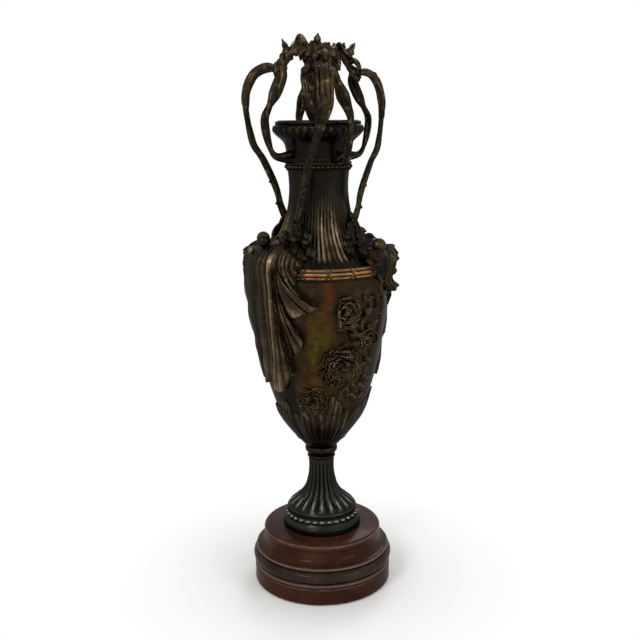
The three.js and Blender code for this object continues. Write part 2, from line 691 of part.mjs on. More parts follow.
// The side shoot leaves the stem at the junction and grows back into it below
function shootPath() {
  const rows = [[0.05, 0.35, 0], [0.2, 0.95, 0.05], [0.45, 1, 0.01], [0.75, 1, -0.15], [0.93, 0.86, -0.4]];
  rows.push([0.98, 0.7, -0.65], [1, 0.42, -0.88], [1, 0.1, -1]);
  return rows.map(([f, turn, drop]) =>
    polar(lerp(ARM_R, BULGE_R, f), SHOOT_TURN * turn, Z_JUNCTION + SHOOT_LENGTH * drop));
}

function innerPath() {
  const zElbow = Z_RIM;
  const zEnd = Z_COLLAR + COLLAR_H * 0.5;
  const rise = Z_JUNCTION - zElbow;
  const drop = zElbow - zEnd;
  const narrow = ARM_R - 0.5;
  return [
    polar(ARM_R, 0, Z_JUNCTION - STEM_R / 2),
    polar(narrow, ELBOW_TURN * 0.35, zElbow + rise * 0.68),
    polar(lerp(narrow, ELBOW_R, 0.15), ELBOW_TURN * 0.56, zElbow + rise * 0.5),
    polar(lerp(narrow, ELBOW_R, 0.82), ELBOW_TURN * 0.95, zElbow + rise * 0.2),
    polar(ELBOW_R, ELBOW_TURN, zElbow),
    polar(lerp(COLLAR_R, ELBOW_R, 0.83), ELBOW_TURN, zElbow - drop * 0.5),
    polar(lerp(COLLAR_R, ELBOW_R, 0.6), ELBOW_TURN, zElbow - drop * 0.82),
    polar(COLLAR_R - STEM_SINK, ELBOW_TURN, zEnd),
  ];
}

const outerBar = (grow) => solid(bar(outerPath(), STEM_R + grow, OUTER_STEPS))
  .add(solid(bar(shootPath(), SHOOT_R + grow, SHOOT_STEPS)));
const innerBar = (grow) => solid(bar(innerPath(), STEM_R + grow, INNER_STEPS));
const screwHole = solid(radialPin(SCREW_R + FIT, headFace - 2, screwEnd + FIT, FOOT_TURN, zFoot));
const outerStem = shaped(outerBar(0).subtract(skin).subtract(screwHole));
const innerStem = shaped(innerBar(0).subtract(skin).subtract(outerBar(FIT)));

// Rosette on the shoulder round the foot of each outer stem
function rosetteGeometry() {
  const zMid = zFoot - ROSETTE_DROP;
  const outline = [
    [zMid - ROSETTE_HALF_H, 0.25],
    [zMid - ROSETTE_HALF_H * 0.4, 1],
    [zMid + ROSETTE_HALF_H * 0.4, 0.9],
    [zMid + ROSETTE_HALF_H, 0.3],
  ].map(([z, w]) => {
    const half = THREE.MathUtils.radToDeg((w * ROSETTE_HALF_W) / skinRadius(z));
    return [z, FOOT_TURN - half, FOOT_TURN + half];
  });
  const relief = (u) => ROSETTE_THICK * (1 - 0.4 * Math.abs(2 * u - 1));
  const leaf = solid(onVase(outline, 4, 4, relief));
  return shaped(leaf.subtract(outerBar(FIT)).subtract(screwHole));
}
const rosette = rosetteGeometry();

const screwGeometry = shaped(
  solid(radialPin(SCREW_R, headFace - 0.5, screwEnd, FOOT_TURN, zFoot))
    .add(solid(radialPin(SCREW_HEAD_R, headFace - SCREW_HEAD_H, headFace, FOOT_TURN, zFoot))),
);

// Crown leaf above each handle
const zHub = Z_JUNCTION + HUB_RISE;
function crownLeafPlace(u, v, side) {
  const spine = new THREE.QuadraticBezierCurve(
    new THREE.Vector2(9, zHub + 2),
    new THREE.Vector2(CROWN_LEAF_TIP_R * 0.75, zHub + 3),
    new THREE.Vector2(CROWN_LEAF_TIP_R, Z_JUNCTION + CROWN_LEAF_RISE),
  );
  const at = spine.getPoint(v);
  const along = spine.getTangent(v);
  const width = 2 + (CROWN_LEAF_W - 2) * Math.sin(Math.PI * Math.min(1, 0.15 + 0.85 * v));
  const out = (side - 0.5) * CROWN_LEAF_THICK;
  const cup = 2.5 * (2 * u - 1) ** 2;
  const r = at.x + (out - cup) * along.y;
  const z = at.y - (out - cup) * along.x;
  return new THREE.Vector3((u - 0.5) * width, -r, z);
}

// Crown hub: a boss with one arm to each handle
function hubSolid(grow) {
  const boss = new THREE.SphereGeometry(HUB_R + grow, SMALL_SEGMENTS, SMALL_SEGMENTS / 2);
  boss.rotateX(Math.PI / 2);
  boss.translate(0, 0, zHub);
  let hub = solid(boss);
  for (const azimuth of Object.values(HANDLES)) {
    const arm = bar([
      polar(2, azimuth, zHub),
      polar(ARM_R * 0.5, azimuth, zHub + 1.5),
      polar(ARM_R * 0.82, azimuth, zHub - 2),
      polar(ARM_R + 1, azimuth, Z_JUNCTION + 1),
    ], STEM_R + grow, 5);
    hub = hub.add(solid(arm));
  }
  return hub;
}

// A solid turned to a handle's azimuth
function atAzimuth(made, azimuth) {
  return made.rotate([0, 0, azimuth]);
}

let hub = hubSolid(0);
const fatStems = outerBar(FIT).add(innerBar(FIT));
for (const azimuth of Object.values(HANDLES)) hub = hub.subtract(atAzimuth(fatStems, azimuth));
const crown = new THREE.Group();
urn.add(crown);
add(crown, "crown_hub", shaped(hub), bronze);

const hubClear = atAzimuth(hubSolid(FIT), -HANDLES.front);
const crownLeaf = shaped(solid(shellPatch(4, 6, crownLeafPlace)).subtract(hubClear));

for (const [side, azimuth] of Object.entries(HANDLES)) {
  const handle = new THREE.Group();
  handle.rotation.z = radians(azimuth);
  urn.add(handle);
  add(handle, "outer_stem_" + side, outerStem, bronze);
  add(handle, "inner_stem_" + side, innerStem, bronze);
  add(handle, "foot_rosette_" + side, rosette, bronze);
  add(handle, "handle_screw_" + side, screwGeometry, steel);
  add(handle, "crown_leaf_" + side, crownLeaf, bronze);
}

// Tie rod from the plinth to the floor of the body, with its nuts and washers
const hardware = new THREE.Group();
urn.add(hardware);
const zLowWasher = zCounterbore - WASHER_H;
const zLowNut = zLowWasher - NUT_H;
const zHighWasher = Z_BODY_FLOOR + WASHER_H;
const zHighNut = zHighWasher + NUT_H;
const NUT_SIDES = 6;
const nutBore = rodBore / Math.cos(Math.PI / NUT_SIDES);

add(hardware, "tie_rod", turned([
  [0, zLowNut - ROD_BELOW_NUT],
  [ROD_R, zLowNut - ROD_BELOW_NUT],
  [ROD_R, zHighNut + ROD_ABOVE_NUT],
  [0, zHighNut + ROD_ABOVE_NUT],
], SMALL_SEGMENTS), steel);
add(hardware, "rod_washer_lower", washer(rodBore, WASHER_R, zLowWasher, zCounterbore), steel);
add(hardware, "rod_nut_lower", washer(nutBore, NUT_R, zLowNut, zLowWasher, NUT_SIDES), steel);
add(hardware, "rod_washer_upper", washer(rodBore, WASHER_R, Z_BODY_FLOOR, zHighWasher), steel);
add(hardware, "rod_nut_upper", washer(nutBore, NUT_R, zHighWasher, zHighNut, NUT_SIDES), steel);

export default urn;
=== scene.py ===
"""A patinated bronze vase urn on a turned wooden base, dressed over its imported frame.

Lengths are millimetres until they go into a mesh, where MM turns them into metres.
An azimuth is in degrees: 0 is the front of the urn (-Y), 90 its right side (+X).
"""

import json
import math
import random
from functools import partial

import bmesh
import bpy
from mathutils import Matrix, Vector, noise


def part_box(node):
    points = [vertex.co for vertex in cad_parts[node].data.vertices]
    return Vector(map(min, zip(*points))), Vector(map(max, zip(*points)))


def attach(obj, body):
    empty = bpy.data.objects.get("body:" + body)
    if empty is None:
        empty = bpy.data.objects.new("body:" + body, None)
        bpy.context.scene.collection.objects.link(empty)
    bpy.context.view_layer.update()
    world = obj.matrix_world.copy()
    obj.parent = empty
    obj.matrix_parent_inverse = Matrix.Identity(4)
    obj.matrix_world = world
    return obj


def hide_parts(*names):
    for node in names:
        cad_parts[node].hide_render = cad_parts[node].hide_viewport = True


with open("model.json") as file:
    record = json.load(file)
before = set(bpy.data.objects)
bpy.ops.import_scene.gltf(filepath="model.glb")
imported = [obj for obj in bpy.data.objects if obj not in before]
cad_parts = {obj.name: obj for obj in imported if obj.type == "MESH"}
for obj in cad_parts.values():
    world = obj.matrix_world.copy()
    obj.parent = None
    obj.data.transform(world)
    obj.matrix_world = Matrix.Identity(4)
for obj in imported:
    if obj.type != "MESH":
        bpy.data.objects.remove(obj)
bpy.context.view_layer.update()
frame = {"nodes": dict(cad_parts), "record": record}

bl_info = {
    "name": "Bronze Vase Urn",
    "version": (1, 0, 0),
    "blender": (4, 5, 0),
    "location": "3D View > Sidebar > Urn",
    "description": "Builds a patinated bronze vase urn with stem handles on a turned base",
    "category": "Add Mesh",
}

MM = 0.001
BODY = "root"
# Azimuth of each handle, and turn of each half of the vase
SIDES = {"front": 5, "right": 95, "back": 185, "left": 275}
HALVES = {"front": 0, "back": 180}


# Small sums

def lerp(a, b, t):
    """The value at a share t of the way from a to b."""
    return a + (b - a) * t


def ramp(rows, x):
    """Straight lines through [x, value] rows with rising x."""
    if x <= rows[0][0]:
        return rows[0][1]
    for (x0, y0), (x1, y1) in zip(rows, rows[1:]):
        if x <= x1:
            return lerp(y0, y1, (x - x0) / (x1 - x0))
    return rows[-1][1]


def bump(x, centre, reach):
    """A smooth hill of height 1 at centre, down to 0 at reach on both sides."""
    d = abs(x - centre) / reach
    return (1 - d * d) ** 2 if d < 1 else 0.0


def crest(x, width):
    """A hill of height 1 at 0 that fades out within a few widths."""
    return math.exp(-((x / width) ** 2))


def smoothstep(x):
    """A smooth rise from 0 at 0 to 1 at 1."""
    x = max(0.0, min(1.0, x))
    return x * x * (3 - 2 * x)


def grain(point, size):
    """Smooth noise from -1 to 1, with lumps of a size in millimetres."""
    return noise.noise(point / (size * MM))


def polar(r, azimuth, z):
    """The point at a radius, azimuth and height."""
    a = math.radians(azimuth)
    return Vector((r * math.sin(a), -r * math.cos(a), z)) * MM


def azimuth_of(co):
    return math.degrees(math.atan2(co.x, -co.y))


def radius_of(co):
    return math.hypot(co.x, co.y) / MM


def outward(co):
    """The level direction away from the axis."""
    return Vector((co.x, co.y, 0)).normalized()


# Heights and radii of the frame

def low(node):
    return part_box(node)[0].z / MM


def high(node):
    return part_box(node)[1].z / MM


def wide(node):
    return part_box(node)[1].x / MM


Z_PLINTH = low("base_plinth")
Z_TORUS = low("base_torus")
Z_FOOT = low("foot_skirt")
Z_BEADS = low("foot_bead_ring")
Z_TRUMPET = low("foot_trumpet")
Z_KNOP = low("knop")
Z_BODY = low("body_shell")
Z_BAND = low("reed_band")
Z_SHOULDER = low("shoulder_shell")
Z_COLLAR = low("beaded_collar")
Z_LIP = low("lip_neck")
Z_RIM = high("lip_neck")
BAND_R = wide("reed_band")
COLLAR_R = wide("beaded_collar")
WALL = 3.0
BORE_R = 5.0


class Profile:
    """The outside of a turned node: its radius at any height, smooth through the frame's own rings."""

    ON_RING = 0.5  # a vertex this close to the largest radius at its height belongs to the outside
    WHOLE = 0.3  # a height with a smaller share of the largest ring's vertices is the edge of a drilled hole
    DENT = 2.5  # a ring further than this inside its neighbours belongs to the inner wall

    def __init__(self, node):
        rings = {}
        for vertex in frame["nodes"][node].data.vertices:
            rings.setdefault(round(vertex.co.z / MM, 2), []).append(radius_of(vertex.co))
        count = {z: sum(r > max(radii) - self.ON_RING for r in radii) for z, radii in rings.items()}
        least = self.WHOLE * max(count.values())
        points = sorted((z, max(rings[z])) for z in rings if count[z] >= least)
        self.points = [points[0]]
        for (z0, r0), (z, r), (z1, r1) in zip(points, points[1:], points[2:]):
            if r > lerp(r0, r1, (z - z0) / (z1 - z0)) - self.DENT:
                self.points.append((z, r))
        self.points.append(points[-1])

    def radius(self, z):
        """A cubic between two rings, with the slopes of the chords across them."""
        p = self.points
        if z <= p[0][0]:
            return p[0][1]
        if z >= p[-1][0]:
            return p[-1][1]
        k = next(i for i in range(1, len(p)) if p[i][0] >= z)
        (z0, r0), (z1, r1) = p[k - 1], p[k]
        before = p[k - 2] if k > 1 else (2 * z0 - z1, 2 * r0 - r1)
        after = p[k + 1] if k + 1 < len(p) else (2 * z1 - z0, 2 * r1 - r0)
        rise0 = (r1 - before[1]) / (z1 - before[0]) * (z1 - z0)
        rise1 = (after[1] - r0) / (after[0] - z0) * (z1 - z0)
        t = (z - z0) / (z1 - z0)
        ends = (2 * t**3 - 3 * t**2 + 1) * r0 + (3 * t**2 - 2 * t**3) * r1
        return ends + (t**3 - 2 * t**2 + t) * rise0 + (t**3 - t**2) * rise1

    def outline(self, z0, z1, rows):
        """[radius, height] pairs from one height to another."""
        return [(self.radius(z), z) for z in (lerp(z0, z1, k / rows) for k in range(rows + 1))]


TRUMPET = Profile("foot_trumpet")
VASE = Profile("body_shell")
SHOULDER = Profile("shoulder_shell")
LIP = Profile("lip_neck")


def skin(z):
    """Outside radius of the vase at a height."""
    if z < Z_BAND:
        return VASE.radius(z)
    if z < Z_SHOULDER:
        return BAND_R
    if z < Z_COLLAR:
        return SHOULDER.radius(z)
    return COLLAR_R if z < Z_LIP else LIP.radius(z)


# Materials

def linear(hex_colour, alpha=1.0):
    """Turns an sRGB hex colour into the linear values of a shader."""
    channels = [int(hex_colour[i : i + 2], 16) / 255 for i in (1, 3, 5)]
    return [c / 12.92 if c <= 0.04045 else ((c + 0.055) / 1.055) ** 2.4 for c in channels] + [alpha]


def add_node(tree, kind, inputs=(), output=None, **settings):
    """Adds a shader node with its settings and links, and returns its first or its named output.

    Inputs are values or outputs of other nodes, in the order of the sockets that the node shows or by name.
    """
    made = tree.nodes.new("ShaderNode" + kind)
    for key, value in settings.items():
        setattr(made, key, value)
    shown = [socket for socket in made.inputs if socket.enabled]
    named = isinstance(inputs, dict)
    pairs = [(made.inputs[key], value) for key, value in inputs.items()] if named else zip(shown, inputs)
    for socket, value in pairs:
        if isinstance(value, bpy.types.NodeSocket):
            tree.links.new(value, socket)
        else:
            socket.default_value = value
    return made.outputs[output] if output else next((s for s in made.outputs if s.enabled), None)


def new_material(name):
    """An empty material, and the function that adds nodes to it."""
    material = bpy.data.materials.new(name)
    material.use_nodes = True
    material.node_tree.nodes.clear()
    return material, partial(add_node, material.node_tree)


def patinated_metal(name, dark, brown, tinge, rubbed, worn, rough=0.36):
    """Cast bronze with a chemical patina under wax: near black in the hollows, brown on the open faces, lighter
    where hands rub it, and dull bright metal on the ridges. The wear attribute of a mesh says how far a place
    stands out, and the wax gives small neutral highlights."""
    material, add = new_material(name)
    place = add("TexCoord", output="Object")
    cloud = add("TexNoise", [place, 1 / (26 * MM), 3.0, 0.55])
    fine = add("TexNoise", [place, 1 / (4 * MM), 4.0, 0.55])
    cast = add("TexNoise", [place, 1 / (1.3 * MM), 2.0, 0.55])

    # The patina, clouded and tinged
    clouded = add("MapRange", [cloud, 0.25, 0.75])
    base = add("Mix", [clouded, linear(dark), linear(brown)], data_type="RGBA")
    spots = add("MapRange", [fine, 0.5, 0.75, 0.0, 0.4])
    tinged = add("Mix", [spots, base, linear(tinge)], data_type="RGBA")

    # Uneven wear takes it through to the metal
    wear = add("Attribute", output="Fac", attribute_name="wear")
    uneven = add("Math", [wear, add("MapRange", [fine, 0.3, 0.7, 0.75, 1.2])], operation="MULTIPLY")
    hollow = add("Mix", [add("MapRange", [uneven, 0.0, 0.2]), linear(dark), tinged], data_type="RGBA")
    warm = add("Mix", [add("MapRange", [uneven, 0.16, 0.6]), hollow, linear(rubbed)], data_type="RGBA")
    colour = add("Mix", [add("MapRange", [uneven, 0.5, 1.0]), warm, linear(worn)], data_type="RGBA")

    height = add("Math", [cast, fine], operation="ADD")
    shader = add("BsdfPrincipled", {
        "Base Color": colour,
        "Metallic": 0.8,
        "Specular IOR Level": 0.3,
        "Specular Tint": (0.3, 0.28, 0.25, 1.0),
        "Coat Weight": 0.06,
        "Coat Roughness": 0.2,
        "Roughness": add("MapRange", [fine, 0.3, 0.7, rough - 0.06, rough + 0.08]),
        "Normal": add("Bump", {"Height": height, "Strength": 0.22, "Distance": 0.5 * MM}),
    })
    add("OutputMaterial", [shader])
    return material


def coloured_patina(name, olive, gold, fire, shade, plain="#241d13", worn="#6d5f4c"):
    """Bronze field with cold-painted lacquer: an olive and gold strip, a red patch high and low, brown at the
    sides. The painted attribute of a mesh fades the lacquer out towards the edges of the field."""
    material, add = new_material(name)
    place = add("TexCoord", output="Object")
    cloud = add("TexNoise", [place, 1 / (18 * MM), 3.0, 0.55])
    streak = add("TexNoise", [place, 1 / (8 * MM), 3.0, 0.55])
    fine = add("TexNoise", [place, 1 / (2.5 * MM), 3.0, 0.55])

    # Distance to the side of the field's middle; the back has it the other way round
    axes = add("SeparateXYZ", [place]).node.outputs
    half = add("MapRange", [axes["Y"], -0.001, 0.001, 1.0, -1.0])
    side = add("Math", [axes["X"], half], operation="MULTIPLY")
    wavy = add("Math", [side, add("MapRange", [cloud, 0.3, 0.7, -0.006, 0.006])], operation="ADD")

    # The olive and gold strip, browned on both sides
    mottle = add("MapRange", [streak, 0.36, 0.64])
    olives = add("Mix", [mottle, linear(olive), linear(gold)], data_type="RGBA")
    sides = [add("MapRange", [wavy, 0.005, 0.016]), add("MapRange", [wavy, -0.008, -0.016])]
    browned = add("Mix", [add("Math", sides, operation="MAXIMUM"), olives, linear(shade)], data_type="RGBA")

    # The red patch low at the left and the one high at the right
    patches = []
    for middle, reach, heights, spots in (
        (-0.013, (0.004, 0.011), (Z_BODY + 100, Z_BODY + 56), [streak, 0.38, 0.6, 0.3, 1.0]),
        (0.008, (0.002, 0.009), (Z_BAND - 40, Z_BAND - 22), [cloud, 0.35, 0.6, 0.5, 1.0]),
    ):
        away = add("Math", [add("Math", [wavy, middle], operation="SUBTRACT")], operation="ABSOLUTE")
        near = add("MapRange", [away, *reach, 1.0, 0.0])
        level = add("MapRange", [axes["Z"], *(z * MM for z in heights)])
        patch = add("Math", [level, near], operation="MULTIPLY")
        patches.append(add("Math", [patch, add("MapRange", spots)], operation="MULTIPLY"))
    fired = add("Mix", [add("Math", patches, operation="MAXIMUM"), browned, linear(fire)], data_type="RGBA")

    # The top is dusky beside the high patch, the last one made, and the edges of the field are plain bronze
    beside = add("Math", [1.0, near], operation="SUBTRACT")
    dusk = add("Math", [level, beside], operation="MULTIPLY")
    dark = add("Math", [dusk, add("MapRange", [streak, 0.55, 0.8])], operation="MAXIMUM")
    shaded = add("Mix", [dark, fired, linear(shade)], data_type="RGBA")
    painted = add("Attribute", output="Fac", attribute_name="painted")
    cover = add("MapRange", [add("Math", [painted, cloud], operation="ADD"), 0.75, 1.35])
    faded = add("Mix", [cover, linear(plain), shaded], data_type="RGBA")

    wear = add("Attribute", output="Fac", attribute_name="wear")
    uneven = add("Math", [wear, add("MapRange", [fine, 0.3, 0.7, 0.7, 1.2])], operation="MULTIPLY")
    colour = add("Mix", [add("MapRange", [uneven, 0.25, 1.1]), faded, linear(worn)], data_type="RGBA")
    height = add("Math", [fine, streak], operation="ADD")
    shader = add("BsdfPrincipled", {
        "Base Color": colour,
        "Metallic": 0.7,
        "Specular IOR Level": 0.15,
        "Specular Tint": (0.3, 0.25, 0.15, 1.0),
        "Coat Weight": 0.05,
        "Coat Roughness": 0.3,
        "Roughness": add("MapRange", [fine, 0.3, 0.7, 0.36, 0.48]),
        "Normal": add("Bump", {"Height": height, "Strength": 0.25, "Distance": 0.6 * MM}),
    })
    add("OutputMaterial", [shader])
    return material


def stained_wood(name, light, dark, rubbed, rough=0.3):
    """Turned hardwood, stained and shellacked: faint grain under a thin gloss, paler along the rubbed edges, where
    the pale colour is partly wear and partly painted highlight lines.
    """
    material, add = new_material(name)
    place = add("TexCoord", output="Object")
    stretched = add("Mapping", {"Vector": place, "Scale": (1.0, 0.22, 1.4)})
    fibre = add("TexNoise", [stretched, 1 / (3.2 * MM), 4.0, 0.55])
    cloud = add("TexNoise", [place, 1 / (24 * MM), 3.0, 0.55])
    scuffs = add("TexNoise", [place, 1 / (9 * MM), 5.0, 0.7])
    streaks = add("MapRange", [fibre, 0.3, 0.75, 0.25, 0.75])
    colour = add("Mix", [streaks, linear(dark), linear(light)], data_type="RGBA")
    clouds = add("MapRange", [cloud, 0.36, 0.62, 0.0, 0.9])
    clouded = add("Mix", [clouds, colour, linear(dark)], data_type="RGBA")
    wear = add("Attribute", output="Fac", attribute_name="wear")
    shader = add("BsdfPrincipled", {
        "Base Color": add("Mix", [wear, clouded, linear(rubbed)], data_type="RGBA"),
        "Roughness": add("MapRange", [scuffs, 0.35, 0.7, rough - 0.04, rough + 0.1]),
        "Specular IOR Level": 0.02,
        "Coat Weight": 0.08,
        "Coat Roughness": 0.1,
        "Normal": add("Bump", {"Height": fibre, "Strength": 0.05, "Distance": 0.3 * MM}),
    })
    add("OutputMaterial", [shader])
    return material


def baize(name, colour, shadow):
    """Wool felt: matt, with a short nap."""
    material, add = new_material(name)
    nap = add("TexNoise", [add("TexCoord", output="Object"), 1 / (0.8 * MM), 2.0, 0.55])
    shader = add("BsdfPrincipled", {
        "Base Color": add("Mix", [nap, linear(colour), linear(shadow)], data_type="RGBA"),
        "Roughness": 0.95,
        "Normal": add("Bump", {"Height": nap, "Strength": 0.4, "Distance": 0.4 * MM}),
    })
    add("OutputMaterial", [shader])
    return material


def mild_steel(name, bright, dull):
    """Mild steel rod stock, dulled by age."""
    material, add = new_material(name)
    mottle = add("TexNoise", [add("TexCoord", output="Object"), 1 / (2.5 * MM), 3.0, 0.55])
    shader = add("BsdfPrincipled", {
        "Base Color": add("Mix", [mottle, linear(bright), linear(dull)], data_type="RGBA"),
        "Metallic": 1.0,
        "Roughness": add("MapRange", [mottle, 0.3, 0.7, 0.35, 0.5]),
    })
    add("OutputMaterial", [shader])
    return material


MATERIALS = {}


def make_materials(chosen):
    """Makes the material of each slot, with the user's colours where there are any."""
    MATERIALS.update({
        "patinated_bronze": patinated_metal(
            "Patinated bronze", chosen.patina_dark, chosen.patina_brown, "#2d2f25", chosen.rubbed_bronze,
            chosen.worn_bronze,
        ),
        "patinated_foot": patinated_metal(
            "Green black foot patina", "#191a13", "#2c2c24", "#2f342c", "#3a3a32", "#8a887f", 0.3
        ),
        "copper_bronze": patinated_metal(
            "Rubbed copper bronze", "#2f2010", "#4d3920", "#3b2c18", "#6f5030", chosen.worn_copper, 0.32
        ),
        "coloured_patina": coloured_patina(
            "Cold painted bronze", chosen.field_olive, chosen.field_gold, chosen.field_red, "#2a1f10"
        ),
        # The pale rubbed colours of the two woods serve both as edge wear and as painted highlight lines along the
        # mouldings.
        "mahogany": stained_wood("Stained mahogany", chosen.wood_light, "#2e170f", "#8a6858"),
        "ebonised": stained_wood("Ebonised mahogany", "#44352c", "#261c16", "#7a685c"),
        "felt": baize("Green baize", "#22352a", "#16241a"),
        "steel": mild_steel("Dull mild steel", "#6e7072", "#4f4c46"),
    })


# Making meshes

def wear_layer(bm):
    """The vertex values that say how far a place is worn, from 0 to 1."""
    return bm.verts.layers.float.get("wear") or bm.verts.layers.float.new("wear")


def mottled(level, *spots):
    """Wear at a level, with spots of [share, size in millimetres]."""
    return lambda v: level + sum(share * grain(v.co, size) for share, size in spots)


def rubbed(*rings, by=None):
    """Wear round a turned piece, from rows of [share, height, reach]; another wear makes it uneven."""
    def wear(v):
        level = sum(share * bump(v.co.z / MM, height, reach) for share, height, reach in rings)
        return level * by(v) if by else level

    return wear


def finish_piece(bm, name, slot, nodes=(), smooth=60, wear=None, thick=0.0, recalc=True):
    """Turns a bmesh into a piece that stands for its frame nodes. A sheet gets its thickness from a modifier."""
    if recalc:
        bmesh.ops.recalc_face_normals(bm, faces=bm.faces)
    if wear:
        layer = wear_layer(bm)
        for v in bm.verts:
            v[layer] = max(0.0, min(1.0, wear(v)))
    mesh = bpy.data.meshes.new(name)
    bm.to_mesh(mesh)
    bm.free()
    mesh.shade_smooth()
    mesh.set_sharp_from_angle(angle=math.radians(smooth))
    mesh.materials.append(MATERIALS[slot])
    piece = bpy.data.objects.new(name, mesh)
    bpy.context.scene.collection.objects.link(piece)
    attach(piece, BODY)
    if nodes:
        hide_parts(*nodes)
    if thick:
        modifier = piece.modifiers.new("Casting thickness", "SOLIDIFY")
        modifier.thickness = thick * MM
        modifier.offset = 0.0


def spin_ring(profile, steps):
    """A closed ring profile of [radius, height] pairs spun about Z."""
    bm = bmesh.new()
    verts = [bm.verts.new((r * MM, 0, z * MM)) for r, z in profile]
    edges = [bm.edges.new(pair) for pair in zip(verts, verts[1:] + verts[:1])]
    bmesh.ops.spin(
        bm, geom=verts + edges, cent=(0, 0, 0), axis=(0, 0, 1), dvec=(0, 0, 0), angle=2 * math.pi, steps=steps,
        use_merge=True, use_duplicate=False,
    )
    bmesh.ops.remove_doubles(bm, verts=bm.verts, dist=1e-6)
    return bm


def arc(cr, cz, radius, start, end, steps):
    """Points of a round moulding about a centre, by angles in degrees from the outward radius."""
    angles = [math.radians(lerp(start, end, k / steps)) for k in range(steps + 1)]
    return [(cr + radius * math.cos(a), cz + radius * math.sin(a)) for a in angles]


def smooth_path(path, steps, substeps=12):
    """Evenly spaced points of a Catmull-Rom curve through a path."""
    padded = [path[0] * 2 - path[1]] + list(path) + [path[-1] * 2 - path[-2]]
    dense = []
    for p0, p1, p2, p3 in zip(padded, padded[1:], padded[2:], padded[3:]):
        for t in (j / substeps for j in range(substeps)):
            bend, twist = 2 * p0 - 5 * p1 + 4 * p2 - p3, 3 * p1 - p0 - 3 * p2 + p3
            dense.append(0.5 * (2 * p1 + (p2 - p0) * t + bend * t**2 + twist * t**3))
    dense.append(path[-1])
    lengths = [0.0]
    for a, b in zip(dense, dense[1:]):
        lengths.append(lengths[-1] + (b - a).length)
    even = []
    k = 0
    for j in range(steps + 1):
        want = lengths[-1] * j / steps
        while k < len(lengths) - 2 and lengths[k + 1] < want:
            k += 1
        span = lengths[k + 1] - lengths[k]
        even.append(dense[k].lerp(dense[k + 1], (want - lengths[k]) / span if span else 0))
    return even


def neighbours(points):
    """The points before and after each point of a path."""
    return zip(points[:1] + points, points[1:] + points[-1:])


def add_grid(bm, columns, rows, place):
    """Adds a grid to a bmesh; place(u, v) gives the place and the wear of a vertex, with u and v from 0 to 1."""
    layer = wear_layer(bm)
    made = bmesh.ops.create_grid(bm, x_segments=columns, y_segments=rows, size=0.5)["verts"]
    for vert in made:
        vert.co, worn = place(vert.co.x + 0.5, vert.co.y + 0.5)
        vert[layer] = max(0.0, min(1.0, worn))
    return made


def add_ball(bm, centre, radius, worn=0.5, segments=12):
    """Adds a berry, bead or bud."""
    layer = wear_layer(bm)
    place = Matrix.Translation(centre)
    made = bmesh.ops.create_uvsphere(
        bm, u_segments=segments, v_segments=segments - 4, radius=radius * MM, matrix=place
    )
    for vert in made["verts"]:
        vert[layer] = worn


def sink_edges(bm, depth=None, under_skin=1.5):
    """Closes the open edges of a relief: in by a depth, or down into the wall of the vase behind it."""
    rim = [e for e in bm.edges if e.is_boundary]
    for made in bmesh.ops.extrude_edge_only(bm, edges=rim)["geom"]:
        if isinstance(made, bmesh.types.BMVert):
            z = made.co.z / MM
            radius = radius_of(made.co) - depth if depth else skin(z) - under_skin
            made.co = polar(radius, azimuth_of(made.co), z)


def surface_frame(azimuth, z, lift=0.0):
    """A place on the vase: its turn, with X along the azimuth, Y up the skin and Z outwards, and its point."""
    a = math.radians(azimuth)
    east = Vector((math.cos(a), math.sin(a), 0))
    out = Vector((math.sin(a), -math.cos(a), 0))
    slope = (skin(z + 1) - skin(z - 1)) / 2
    up = (Vector((0, 0, 1)) + out * slope).normalized()
    normal = east.cross(up)
    turn = Matrix((east, up, normal)).transposed().to_4x4()
    return turn, polar(skin(z), azimuth, z) + normal * lift * MM


def leaf_width(s, root, widest):
    """Share of a leaf's full width at a share of its length: narrow root, round tip."""
    if s < widest:
        return lerp(root, 1.0, smoothstep(s / widest))
    return max(0.0, 1 - ((s - widest) / (1 - widest)) ** 2.4) ** 0.5


def add_leaf(bm, place, heading, length, width, slopes, cup, root, wave, cells, worn, lobes=0, start=0.0):
    """A free leaf or petal at a place like surface_frame's. Its spine leaves the place at the first slope and
    ends at the second, in degrees, so it can arch, droop or roll up. It is cupped across by a share of its width,
    its edge waves by millimetres, and it can have lobes."""
    turn, base = place
    along = cells[1]
    step = length / along
    spine = [(start, 0.0, math.radians(slopes[0]))]
    for k in range(along):
        slope = math.radians(lerp(*slopes, (k + 0.5) / along))
        x, z, _ = spine[-1]
        spine.append((x + step * math.cos(slope), z + step * math.sin(slope), slope))
    spin = Matrix.Rotation(math.radians(heading), 4, "Z")

    def leaf_point(u, s):
        t = 2 * u - 1
        x, z, slope = spine[round(s * along)]
        half = 0.5 * width * leaf_width(s, root, 0.55)
        if lobes:
            half *= 0.74 + 0.26 * math.cos(2 * math.pi * (lobes * s - 0.5))
        rise = cup * width * (t * t - 0.3) + wave * math.sin(2 * math.pi * (2 * s + 0.25 * t)) * abs(t)
        rise += 0.05 * width * crest(t, 0.16)
        local = Vector((x - rise * math.sin(slope), t * half, z + rise * math.cos(slope))) * MM
        co = base + turn @ (spin @ local)
        raised = 0.3 + 0.5 * s * t * t + 0.35 * s**3 + 0.3 * crest(t, 0.2)
        return co, worn * raised * (1 + 0.6 * grain(co, 8))

    add_grid(bm, *cells, leaf_point)


